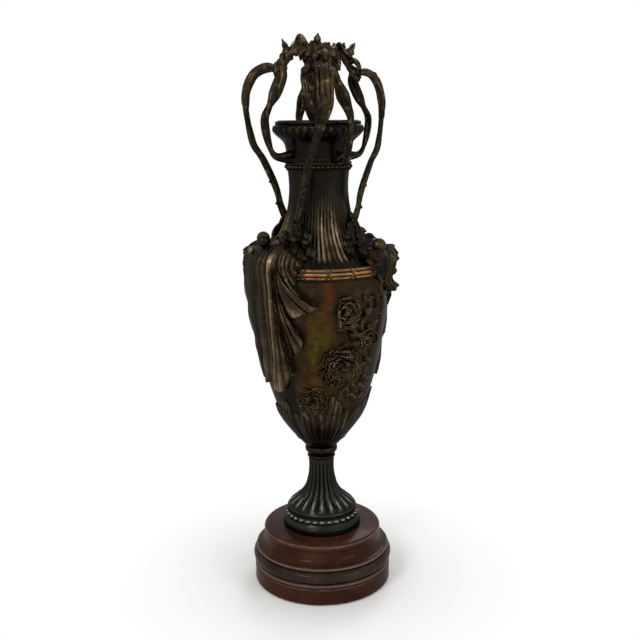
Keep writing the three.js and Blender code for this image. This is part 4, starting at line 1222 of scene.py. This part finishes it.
def build_rosettes():
    """Leaf clusters with berries that hang down the shoulder from the foot of each outer stem."""
    random.seed(3)
    row_drop, berries = 6.2, 5
    for side, start in SIDES.items():
        azimuth = start + FOOT_TURN
        z = high("foot_rosette_" + side) + 2
        bm = bmesh.new()
        for row in range(6):
            reach = 4 + 2.8 * row
            count = 2 + row // 2
            for k in range(count):
                aside = azimuth - 0.8 * row + lerp(-reach, reach, (k + 0.5) / count) + random.uniform(-3, 3)
                drop = row_drop * row - random.uniform(-2, 2)
                place = surface_frame(aside, z - drop, 1.5 + 2 * random.random())
                heading = -90 + 2.2 * (aside - azimuth) + random.uniform(-25, 25)
                slopes = (random.uniform(24, 46), random.uniform(-50, -20))
                length, width = random.uniform(18, 25), random.uniform(12, 17)
                add_leaf(bm, place, heading, length, width, slopes, **ROSETTE_CUT)
        finish_piece(bm, "stem_leaves_" + side, "patinated_bronze", ["foot_rosette_" + side], thick=0.9)

        bm = bmesh.new()
        for _ in range(berries):
            aside = azimuth + random.uniform(-12, 8)
            _, point = surface_frame(aside, z - random.uniform(12, 34), 3.5 + 2 * random.random())
            add_ball(bm, point, random.uniform(1.6, 2.4), 0.3, 16)
        finish_piece(bm, "stem_berries_" + side, "patinated_bronze", smooth=80)


# Flowers of a field, by azimuth and height above the foot of the CAD's panel: size and petals, or size alone
RUFFLED_BLOOMS = [(17, 30, 21, 74), (-8, -6, 15, 60), (48, 92, 8, 36)]
OPEN_BLOOMS = [(21, 87, 14), (43, 56, 11)]
# Rows of an open bloom: petals, shares of its size for their length and width, and their slopes
OPEN_ROWS = [(4, 1.0, 1.3, (4, 30)), (4, 0.8, 1.1, (20, 56)), (3, 0.5, 0.9, (44, 100))]
# Loose leaves among the flowers: azimuth, height, heading, length and width
LOOSE_LEAVES = [
    (14, 68, 8, 22, 11), (22, 64, -14, 25, 13), (18, 52, 4, 20, 10), (36, 72, 60, 18, 10), (34, 42, 30, 19, 11),
]
# Vines, each a path of [azimuth, height]
VINES = [
    [(16, 44), (22, 56), (20, 70), (17, 84)],
    [(22, 26), (34, 36), (41, 46), (42, 54)],
    [(20, 62), (30, 68), (40, 76), (48, 84)],
    [(8, 6), (2, 20), (-3, 34), (1, 52)],
    [(42, 10), (50, 28), (52, 44)],
]
RUFFLED_CUT = dict(cup=0.2, lobes=2, root=0.4, wave=0.9, cells=(8, 8), worn=0.52)
OPEN_CUT = dict(cup=0.16, root=0.45, wave=1.2, cells=(14, 14), start=0.5, worn=0.55)
LOOSE_CUT = dict(slopes=(26, -26), cup=-0.14, lobes=2, root=0.4, wave=1.1, cells=(14, 26), worn=0.55)
GOLDEN_ANGLE = 137.5
GOLDEN_SHARE = 0.618


def ruffled_bloom(bm, azimuth, z, size, petals):
    """A full, ragged flower head: many small petals that stand up more steeply towards its middle."""
    place = surface_frame(azimuth, z, 0.6)
    for k in range(petals):
        start = size * 0.6 * ((k + 0.5) / petals) ** 0.6
        steep = 1 - start / (0.6 * size)
        heading = GOLDEN_ANGLE * k + random.uniform(-16, 16)
        slopes = (lerp(4, 24, steep) + random.uniform(-6, 8), lerp(10, 50, steep) + random.uniform(-15, 15))
        length = size * random.uniform(0.4, 0.58)
        width = size * random.uniform(0.36, 0.54)
        add_leaf(bm, place, heading, length, width, slopes, start=start, **RUFFLED_CUT)


def open_bloom(bm, azimuth, z, size):
    """An open cup of broad, uneven petals round a knot of stamens."""
    turn, base = surface_frame(azimuth, z, 0.8)
    for number, (count, length, width, slopes) in enumerate(OPEN_ROWS):
        for k in range(count):
            heading = 360 * k / count + 31 * number + random.uniform(-14, 14)
            bend = (slopes[0] + random.uniform(-10, 14), slopes[1] + random.uniform(-24, 20))
            long, broad = length * size * random.uniform(0.85, 1.1), width * size * random.uniform(0.85, 1.1)
            add_leaf(bm, (turn, base), heading, long, broad, bend, **OPEN_CUT)
    stamens, spread, rise = 6, 2.0, 5.0
    for k in range(stamens):
        angle = 2 * math.pi * k / stamens
        point = turn @ Vector((spread * math.cos(angle), spread * math.sin(angle), rise))
        add_ball(bm, base + point * MM, 1.1, 0.4, 8)


def field_leaf(bm, azimuth, z, heading, length, width):
    """A low leaf that lies on the field, bent a little along its length."""
    bend = random.uniform(-18, 18)
    path = []
    for k in range(4):
        path.append((azimuth, z))
        angle = math.radians(heading + bend * k)
        azimuth += math.degrees(length / 3 * math.cos(angle) / skin(z))
        z += length / 3 * math.sin(angle)
    add_blade(bm, path, 1.15 * width, height=2.4, ribs=3, curl=2.0, root=0.3, widest=0.45, cells=(12, 18), worn=1.25)


def build_panels():
    """Painted fields with open and ruffled flowers, vines and crowded leaves in low relief."""
    z0 = low("flower_panel_front")
    foot, top = z0 - 34, high("flower_panel_front") + 4
    left, right = -34, 74
    for side, turn in HALVES.items():
        random.seed(11)

        def inside(azimuth, z):
            across = smoothstep(min(azimuth - left, right - azimuth) / 20)
            return across * smoothstep((z - foot) / 34)

        def field_point(u, v):
            azimuth, z = lerp(left, right, u), lerp(foot, top, v)
            lift = lerp(-0.6, 0.5, smoothstep(2.2 * inside(azimuth, z)))
            lift += 0.4 * grain(polar(70, azimuth, z), 16)
            return polar(skin(z) + lift, azimuth + turn, z), 0.0

        bm = bmesh.new()
        painted = bm.verts.layers.float.new("painted")
        for v in add_grid(bm, 110, 110, field_point):
            v[painted] = inside((azimuth_of(v.co) - turn + 180) % 360 - 180, v.co.z / MM)
        sink_edges(bm, 1.5)
        wear = mottled(0.2, (0.3, 9))
        finish_piece(bm, "painted_field_" + side, "coloured_patina", ["flower_panel_" + side], wear=wear)

        bm = bmesh.new()
        for azimuth, rise, size, petals in RUFFLED_BLOOMS:
            ruffled_bloom(bm, azimuth + turn, z0 + rise, size, petals)
        for azimuth, rise, size in OPEN_BLOOMS:
            open_bloom(bm, azimuth + turn, z0 + rise, size)
        for azimuth, rise, heading, length, width in LOOSE_LEAVES:
            place = surface_frame(azimuth + turn, z0 + rise, 1.2)
            add_leaf(bm, place, heading, length, width, **LOOSE_CUT)
        finish_piece(bm, "flower_heads_" + side, "patinated_bronze", thick=0.9)

        # Crowded leaves, with the upper left kept clear for the painted strip, and the vines between them
        bm = bmesh.new()
        painted = bm.verts.layers.float.new("painted")
        count, first, spread = 64, -14, 76
        for k in range(count):
            azimuth = first + spread * ((k * GOLDEN_SHARE) % 1)
            z = z0 + lerp(-30, 98, k / count) + random.uniform(-5, 5)
            if azimuth < 15 and z > z0 + 34:
                continue
            heading = lerp(60, 120, (azimuth - first) / spread) + random.uniform(-60, 60)
            field_leaf(bm, azimuth + turn, z, heading, random.uniform(11, 19), random.uniform(6, 10))
        sink_edges(bm, 1.8)
        for vine in VINES:
            path = [polar(skin(z0 + z) + 0.6, a + turn, z0 + z) for a, z in vine]
            swept(bm, path, lambda u, v: round_bar(u, 2.4 - v), 8, 30)
        for v in bm.verts:
            v[painted] = 0.65
        finish_piece(bm, "flower_leaves_" + side, "coloured_patina")


# The four handles are bent by hand: how far each one bulges, how high it joins the crown, how far its inner
# stem turns, and how thick it is
REACH = {"front": 66.5, "right": 62.6, "back": 67.3, "left": 70.0}
JUNCTION_RISE = {"front": 44.5, "right": 41.8, "back": 44.5, "left": 47.2}
ELBOW_TURN = {"front": 27.0, "right": 23.0, "back": 15.0, "left": 23.0}
GAUGE = {"front": 1.0, "right": 0.84, "back": 0.95, "left": 0.98}
# Middle line of an outer stem: shares of the reach and the drop, then of the way in, down and round
OUTER_HIGH = [(-0.2, 0.02), (0, 0), (0.32, -0.09), (0.665, 0.04), (0.87, 0.28), (0.97, 0.62), (1, 1)]
OUTER_LOW = [(0.18, 0.3, 0.23), (0.5, 0.47, 0.43), (0.81, 0.73, 0.71), (0.877, 0.86, 0.86)]
# Middle line of a side shoot: shares of the reach, the turn and the length
SHOOT = [
    (0.05, 0.35, 0), (0.2, 0.95, 0.05), (0.45, 1, 0.01), (0.75, 1, -0.15), (0.93, 0.86, -0.4), (0.98, 0.7, -0.65),
    (1, 0.42, -0.88), (1, 0.1, -1),
]
# Width of an inner stem along its length, as a share of an outer stem's
INNER_WIDTHS = [(0, 1.25), (0.16, 1.25), (0.27, 1.35), (0.38, 0.98), (0.5, 0.86), (0.8, 0.84), (0.9, 1.1), (1, 1.4)]
# Strands of a handle: across and out at the widest place of the strap, width, and turn round the stem below it
STRANDS = [(5.4, -1.0, 5.4, 60), (1.2, 1.4, 5.6, 150), (-3.2, 0.6, 5.2, 240), (-7.4, -1.4, 5.0, 330)]
SPREAD = [(0, 0.55), (0.06, 0.75), (0.16, 1), (0.26, 0.95), (0.34, 0.6), (0.42, 0.3), (0.48, 0.08), (0.54, 0)]
# Buds on the strap: share of the reach, turn, rise, size and wear. Thorns low on the stem: share, aside and size
BUDS = [(0.66, -16, -1, 4.4, 0.3), (0.94, -10, -17, 3.4, 0.85)]
THORNS = [(0.74, 4.6, 1.7), (0.86, 4.4, 1.8), (0.93, -5.0, 2.0)]
ARM_R = 38.0
BULGE_DROP = 34.5
ELBOW_R = 57.0
SHOOT_TURN = -17.0
SHOOT_LENGTH = 42.0


def outer_path(side, azimuth):
    """From the crown out to the bulge, then down and round to the rosette."""
    z_top = Z_RIM + JUNCTION_RISE[side]
    z_bulge = z_top - BULGE_DROP
    z_foot = Z_SHOULDER + 38
    foot_r = SHOULDER.radius(z_foot) + 4.2
    reach = REACH[side]
    points = [polar(lerp(ARM_R, reach, f), azimuth, z_top - BULGE_DROP * g) for f, g in OUTER_HIGH]
    for f, g, turn in OUTER_LOW:
        points.append(polar(lerp(reach, foot_r, f), azimuth + FOOT_TURN * turn, lerp(z_bulge, z_foot, g)))
    points.append(polar(foot_r, azimuth + FOOT_TURN, z_foot + 1))
    points.append(polar(foot_r - 5, azimuth + FOOT_TURN, z_foot - 9))
    return points


def shoot_path(side, azimuth):
    """From the crown out beside the strap, and down behind the stem."""
    z_top = Z_RIM + JUNCTION_RISE[side]
    return [
        polar(lerp(ARM_R, REACH[side], f), azimuth + SHOOT_TURN * turn, z_top + SHOOT_LENGTH * drop)
        for f, turn, drop in SHOOT
    ]


def inner_path(side, azimuth):
    """From the crown down and out round the rim, and in to the collar."""
    rise, drop = JUNCTION_RISE[side], Z_RIM - Z_LIP - 5
    narrow = ARM_R - 0.5
    rows = [
        (ARM_R - 2, 0.45, rise + 1),
        (narrow, 0.78, rise * 0.86),
        (lerp(narrow, ELBOW_R, 0.32), 0.9, rise * 0.58),
        (lerp(narrow, ELBOW_R, 0.72), 0.97, rise * 0.28),
        (ELBOW_R, 1, 0),
        (lerp(COLLAR_R, ELBOW_R, 0.85), 1, drop * -0.6),
        (lerp(COLLAR_R, ELBOW_R, 0.55), 1, drop * -0.95),
        (COLLAR_R - 3, 1, -drop),
    ]
    return [polar(r, azimuth + ELBOW_TURN[side] * turn, Z_RIM + z) for r, turn, z in rows]


def stem_wear_and_glints(v):
    """Specks of bright metal, which are painted glints, on mottled stems that are paler towards the crown."""
    arch = 0.12 * smoothstep((v.co.z / MM - Z_RIM) / 30)
    fine = grain(v.co, 4)
    # Where the fine noise peaks, the bright specks are painted glints.
    return 0.2 + arch + 0.22 * grain(v.co, 18) + 0.2 * fine + 1.3 * max(0.0, fine - 0.38)


def build_stems(sizes):
    """Each handle is a strap of strands that wind together into one stem, with a side shoot and an inner stem."""
    width = sizes.stem_width / MM
    for side, azimuth in SIDES.items():
        gauge = GAUGE[side]
        stem = outer_path(side, azimuth)
        bm = bmesh.new()

        def core(u, v):
            knots = 0.12 * bump(v, 0.55, 0.05) + 0.14 * bump(v, 0.78, 0.04) + 0.35 * bump(v, 1.0, 0.08)
            return round_bar(u, gauge * width * (0.68 + knots))

        swept(bm, stem, core, 20, 120)
        for across, out, size, phase in STRANDS:

            def strand(u, v):
                spread = ramp(SPREAD, v)
                angle = math.radians(phase + 300 * max(0, v - 0.35))
                middle = gauge * 2.0 * (1 - spread)
                thick = gauge * size * lerp(0.68, 1, spread) * (1 + 0.12 * math.sin(31 * v + phase))
                a, b = round_bar(u, thick)
                a *= 1 + 0.1 * math.cos(6 * math.pi * u)
                return a + out * spread + middle * math.cos(angle), b + across * spread + middle * math.sin(angle)

            swept(bm, stem, strand, 16, 170)
        for aside in (-1.7, 1.7):

            def shoot(u, v):
                a, b = round_bar(u, gauge * (3.8 + 1.6 * bump(v, 0.18, 0.12)))
                return a + 0.8 * math.cos(9 * v + aside), b + aside * (1 - 0.5 * v)

            swept(bm, shoot_path(side, azimuth), shoot, 14, 70)
        for share, turn, rise, radius, worn in BUDS:
            bud = polar(lerp(ARM_R, REACH[side], share), azimuth + turn, Z_RIM + JUNCTION_RISE[side] + rise)
            add_ball(bm, bud, radius * gauge, worn, 16)
        middle_line = smooth_path(stem, 100)
        for share, aside, radius in THORNS:
            p = middle_line[round(share * 100)]
            out = outward(p)
            add_ball(bm, p + (Vector((-out.y, out.x, 0)) * aside + out * 1.5) * MM, radius, 0.9)
        finish_piece(bm, "outer_stem_casting_" + side, "patinated_bronze", ["outer_stem_" + side], 70, stem_wear_and_glints)

        bm = bmesh.new()
        for aside in (0.22, -0.22):

            def inner(u, v):
                here = gauge * width * ramp(INNER_WIDTHS, v)
                turn = 2.4 * math.pi * v
                a, b = round_bar(u, here * 0.7)
                return a + here * aside * math.sin(turn), b + here * aside * math.cos(turn)

            swept(bm, inner_path(side, azimuth), inner, 20, 120)
        finish_piece(bm, "inner_stem_casting_" + side, "patinated_bronze", ["inner_stem_" + side], 70, stem_wear_and_glints)


# Crown leaves of each side: points of the mid-rib as [radius, turn, height over the hub], a width, and whether
# the blade faces outwards (0) or sideways (90)
CROWN_LEAVES = {
    "front": [
        ([(12, -12, -1), (15, -8, 6), (17.5, -5, 12), (20, -3, 17.5)], 11, 0),
        ([(12, -18, -1), (15, -20, 4), (17, -21, 8), (19, -22, 11)], 9, 0),
        ([(12, -34, 3), (19, -40, 3), (24, -42, 0), (27, -42, -5)], 11, 25),
        ([(8, -35, 3), (18, -26, 5), (25, -25, 2), (31, -25, -6)], 16, 0),
        ([(8, 32, 3), (18, 30, 5), (25, 29, 2), (31, 28, -6)], 15, 0),
        ([(14, 52, 2), (22, 48, 1), (27, 43, -6), (30, 40, -15)], 11, -20),
        ([(6, 20, 2), (12, 30, 5), (16, 34, 4), (20, 36, -2)], 11, 0),
        ([(20, 8, 3), (28, 7, 3), (35, 6, 0), (41, 5.5, -6)], 14, 0),
    ],
    "right": [
        ([(13, 4, -4), (14.5, 2, 3), (15.5, 1, 7), (16, 0, 11)], 10, 90),
        ([(19, 0, -4), (22, 0, 3), (24, 0, 7), (26, 0, 11)], 11, 90),
        ([(27, -3, -5), (31, -2, 2), (33, -1, 6), (36, 0, 10.5)], 8, 90),
        ([(10, -18, 1), (20, -14, 5), (28, -10, 3), (33, -6, -4)], 12, 20),
        ([(12, 24, 1), (20, 20, 4), (27, 14, 1), (32, 8, -6)], 11, -20),
        ([(30, -8, -4), (36, -10, -5), (40, -12, -10), (41, -12, -18)], 10, 0),
    ],
    "back": [
        ([(14, 4, -3), (17, 2, 2), (18, 1, 5), (19, 0, 8)], 10, 0),
        ([(20, 10, -4), (25, 6, 1), (29, 3, 4), (32, 2, 6)], 9, 60),
        ([(10, -24, 2), (19, -22, 6), (27, -20, 2), (32, -18, -8)], 15, 0),
        ([(12, 30, 2), (20, 26, 6), (27, 22, 2), (32, 18, -8)], 15, 0),
        ([(18, -50, 0), (25, -48, -3), (28, -48, -10), (29, -48, -16)], 10, 20),
        ([(28, -4, -2), (35, -4, -2), (41, -4, -7), (44, -4, -15)], 12, 0),
    ],
    "left": [
        ([(25, 2, -5), (28, 1, 2), (30.5, 0, 8), (33.5, -2, 14.5)], 9, 90),
        ([(10, 4, 1), (13, 2, 9), (18, 0, 12.5), (23, 0, 10), (27, 0, 1)], 13, 20),
        ([(11, -10, 1), (15, -8, 8), (20, -6, 10), (25, -4, 6), (28, -4, -1)], 12, -10),
        ([(10, 26, 1), (18, 22, 5), (25, 16, 3), (30, 12, -3)], 9, 20),
        ([(12, -28, 1), (19, -24, 4), (25, -18, 3), (30, -14, -3)], 9, -20),
        ([(30, 8, -4), (36, 10, -4), (40, 12, -9), (41, 12, -17)], 10, 0),
    ],
}
# Lumps where an arm meets its handle: radius, turn, rise and size
ARM_LUMPS = [(36, 0, 2, 7.2), (36, 10, 5, 5.0), (33.5, -8, 13, 3.4), (38, -6, -3, 4.6), (40, 7, -1, 4.2)]


def rib_leaf(bm, spine, width, facing, cells=(12, 30)):
    """A pointed leaf whose mid-rib runs through the points of a spine; its edges droop and are cut into lobes."""
    along = cells[1]
    points = smooth_path(spine, along)
    aim = Matrix.Rotation(math.radians(facing), 3, "Z")
    frames = []
    for p, (before, after) in zip(points, neighbours(points)):
        tangent = (after - before).normalized()
        side = tangent.cross(aim @ Vector((p.x, p.y, 0))).normalized()
        frames.append((p, side, side.cross(tangent)))

    def rib_point(u, s):
        t = 2 * u - 1
        p, side, over = frames[round(s * along)]
        half = 0.5 * width * lerp(0.45, 1, smoothstep(2.6 * s)) * (1 - smoothstep((s - 0.45) / 0.56)) ** 0.8
        half *= 0.82 + 0.18 * math.cos(2 * math.pi * (3 * s - 0.4))
        droop = -0.22 * width * t * t + 0.07 * width * crest(t, 0.2) + 0.3 * math.cos(5 * math.pi * t)
        co = p + (side * t * half + over * droop) * MM
        return co, 0.3 + 0.3 * s * t * t + 0.3 * crest(t, 0.22) + 0.5 * grain(co, 6)

    add_grid(bm, *cells, rib_point)


def build_crown():
    """Leaf crown: a hub with an arm to each handle, and leaves that stand up and hang down between them."""
    z_hub = (low("crown_hub") + high("crown_hub")) / 2 + 3
    middle = Matrix.Translation((0, 0, z_hub * MM))
    bm = bmesh.new()
    bmesh.ops.create_uvsphere(bm, u_segments=40, v_segments=24, radius=13 * MM, matrix=middle)
    for v in bm.verts:
        lumps = 1 + 0.12 * math.cos(math.radians(9 * azimuth_of(v.co))) + 0.16 * grain(v.co, 7)
        v.co.x *= lumps
        v.co.y *= lumps
        v.co.z = lerp(z_hub * MM, v.co.z, 0.55)
    for side, azimuth in SIDES.items():
        z_top = Z_RIM + JUNCTION_RISE[side]
        rows = [(3, z_hub), (14, z_hub + 2)]
        rows += [(21, z_top + 21), (28, z_top + 12.5), (34, z_top + 5), (ARM_R + 3, z_top)]
        arm = [polar(r, azimuth, z) for r, z in rows]
        for across, out, size, phase in STRANDS:

            def strand(u, v):
                spread = lerp(0.35, 0.6, v)
                a, b = round_bar(u, GAUGE[side] * (size + 0.8 + 0.5 * math.sin(17 * v + phase)))
                return a + out * spread + 0.8 * math.sin(9 * v + phase), b + across * spread

            swept(bm, arm, strand, 16, 60)
        for r, turn, over, radius in ARM_LUMPS:
            add_ball(bm, polar(r, azimuth + turn, z_top + over), radius * GAUGE[side], 0.3, 18)
    for v in bm.verts:
        v.co += 0.7 * MM * grain(v.co, 5) * outward(v.co)
    wear = mottled(0.42, (0.3, 9), (0.3, 3.5))
    finish_piece(bm, "crown_hub_casting", "patinated_bronze", ["crown_hub"], 70, wear)

    for side, azimuth in SIDES.items():
        bm = bmesh.new()
        for rows, width, facing in CROWN_LEAVES[side]:
            rib_leaf(bm, [polar(r, azimuth + turn, z_hub + rise) for r, turn, rise in rows], width, facing)
        finish_piece(bm, "crown_leaves_" + side, "patinated_bronze", ["crown_leaf_" + side], thick=1.6)


def finish_frame_nodes():
    """Gives every frame node that still shows its own procedural finish."""
    slots = {s["node"]: s["material_slot"] for s in frame["record"]["subparts"]}
    for name, node in frame["nodes"].items():
        node.data.materials.clear()
        node.data.materials.append(MATERIALS[slots[name]])


# Studio

CAMERA_PITCH = 12.4
CAMERA_ROLL = -0.58
FOCAL_PIXELS = 910.0
FRAME_PIXELS = 640.0
SENSOR_WIDTH = 36.0
# Each lamp aims at the middle of the urn: place, side in metres, watts and colour
LAMP_AIM = (0, 0, 0.28)
LAMPS = {
    "Key lamp": ((-0.75, -1.1, 1.25), 0.45, 9.0, (1.0, 0.97, 0.92)),
    "Fill lamp": ((1.1, -0.9, 0.7), 0.7, 5.0, (0.95, 0.97, 1.0)),
    "Rim lamp": ((0.3, 1.2, 1.1), 0.6, 5.0, (1.0, 1.0, 1.0)),
}
WHITE = (1, 1, 1, 1)


def seen_rays(add):
    """1 for the rays that meet the white studio directly or in a mirror or glass."""
    rays = add("LightPath").node.outputs
    seen = add("Math", [rays["Is Camera Ray"], rays["Is Glossy Ray"]], operation="MAXIMUM")
    return add("Math", [seen, rays["Is Transmission Ray"]], operation="MAXIMUM")


def paper_sweep(name):
    """White paper: it takes the urn's shadow close by and is burnt out to white further off."""
    material, add = new_material(name)
    place = add("TexCoord", output="Object")
    mottle = add("TexNoise", [place, 1 / (40 * MM), 3.0, 0.55])
    paper = add("BsdfPrincipled", {
        "Base Color": add("Mix", [mottle, linear("#fafaf9"), linear("#fdfdfc")], data_type="RGBA"),
        "Roughness": 0.9,
        "Specular IOR Level": 0.1,
    })
    away = add("VectorMath", [place], operation="LENGTH")
    burnt = add("Math", [seen_rays(add), add("MapRange", [away, 0.09, 0.22])], operation="MULTIPLY")
    add("OutputMaterial", [add("MixShader", [burnt, paper, add("Emission", [WHITE, 1.0])])])
    return material


def add_lamp(name, place, side, watts, colour):
    """Adds a square lamp."""
    data = bpy.data.lights.new(name, "AREA")
    data.shape = "RECTANGLE"
    data.size = data.size_y = side
    data.energy = watts
    data.color = colour
    lamp = bpy.data.objects.new(name, data)
    bpy.context.scene.collection.objects.link(lamp)
    lamp.location = place
    lamp.rotation_euler = (Vector(LAMP_AIM) - Vector(place)).to_track_quat("-Z", "Y").to_euler()


def build_stage(sizes):
    """A white floor and world, three lamps and the photo's camera."""
    scene = bpy.context.scene
    bm = bmesh.new()
    bmesh.ops.create_grid(bm, x_segments=1, y_segments=1, size=4.0)
    mesh = bpy.data.meshes.new("studio_floor")
    bm.to_mesh(mesh)
    bm.free()
    floor = bpy.data.objects.new("studio_floor", mesh)
    scene.collection.objects.link(floor)
    mesh.materials.append(paper_sweep("Pale studio floor"))

    # The world lights the urn dimly, and is white where it is seen
    world = bpy.data.worlds.new("Studio world")
    scene.world = world
    world.use_nodes = True
    world.node_tree.nodes.clear()
    add = partial(add_node, world.node_tree)
    dim = add("Background", [WHITE, 0.6])
    white = add("Background", [WHITE, 1.0])
    add("OutputWorld", [add("MixShader", [seen_rays(add), dim, white])])

    for name, lamp in LAMPS.items():
        add_lamp(name, *lamp)

    data = bpy.data.cameras.new("Photo camera")
    data.sensor_width = SENSOR_WIDTH
    data.lens = FOCAL_PIXELS / FRAME_PIXELS * SENSOR_WIDTH
    data.clip_start = 0.01
    camera = bpy.data.objects.new("Photo camera", data)
    scene.collection.objects.link(camera)
    place = Matrix.Translation((0, -sizes.camera_distance, sizes.camera_height))
    tilt = Matrix.Rotation(math.radians(90 - CAMERA_PITCH), 4, "X")
    roll = Matrix.Rotation(math.radians(CAMERA_ROLL), 4, "Z")
    camera.matrix_world = place @ tilt @ roll
    scene.camera = camera
    scene.view_settings.view_transform = "Standard"


OPERATORS = [
    URN_OT_stage, URN_OT_base, URN_OT_foot, URN_OT_vase, URN_OT_leaves, URN_OT_flowers,
    URN_OT_handles, URN_OT_crown, URN_OT_hardware,
]
CLASSES = [UrnSettings, *OPERATORS, URN_PT_panel]


def register():
    for cls in CLASSES:
        bpy.utils.register_class(cls)
    bpy.types.Scene.urn_settings = bpy.props.PointerProperty(type=UrnSettings)


def unregister():
    del bpy.types.Scene.urn_settings
    for cls in reversed(CLASSES):
        bpy.utils.unregister_class(cls)


def main():
    random.seed(7)
    register()
    for operator in OPERATORS:
        group, name = operator.bl_idname.split(".")
        getattr(getattr(bpy.ops, group), name)()


if __name__ == "__main__":
    main()
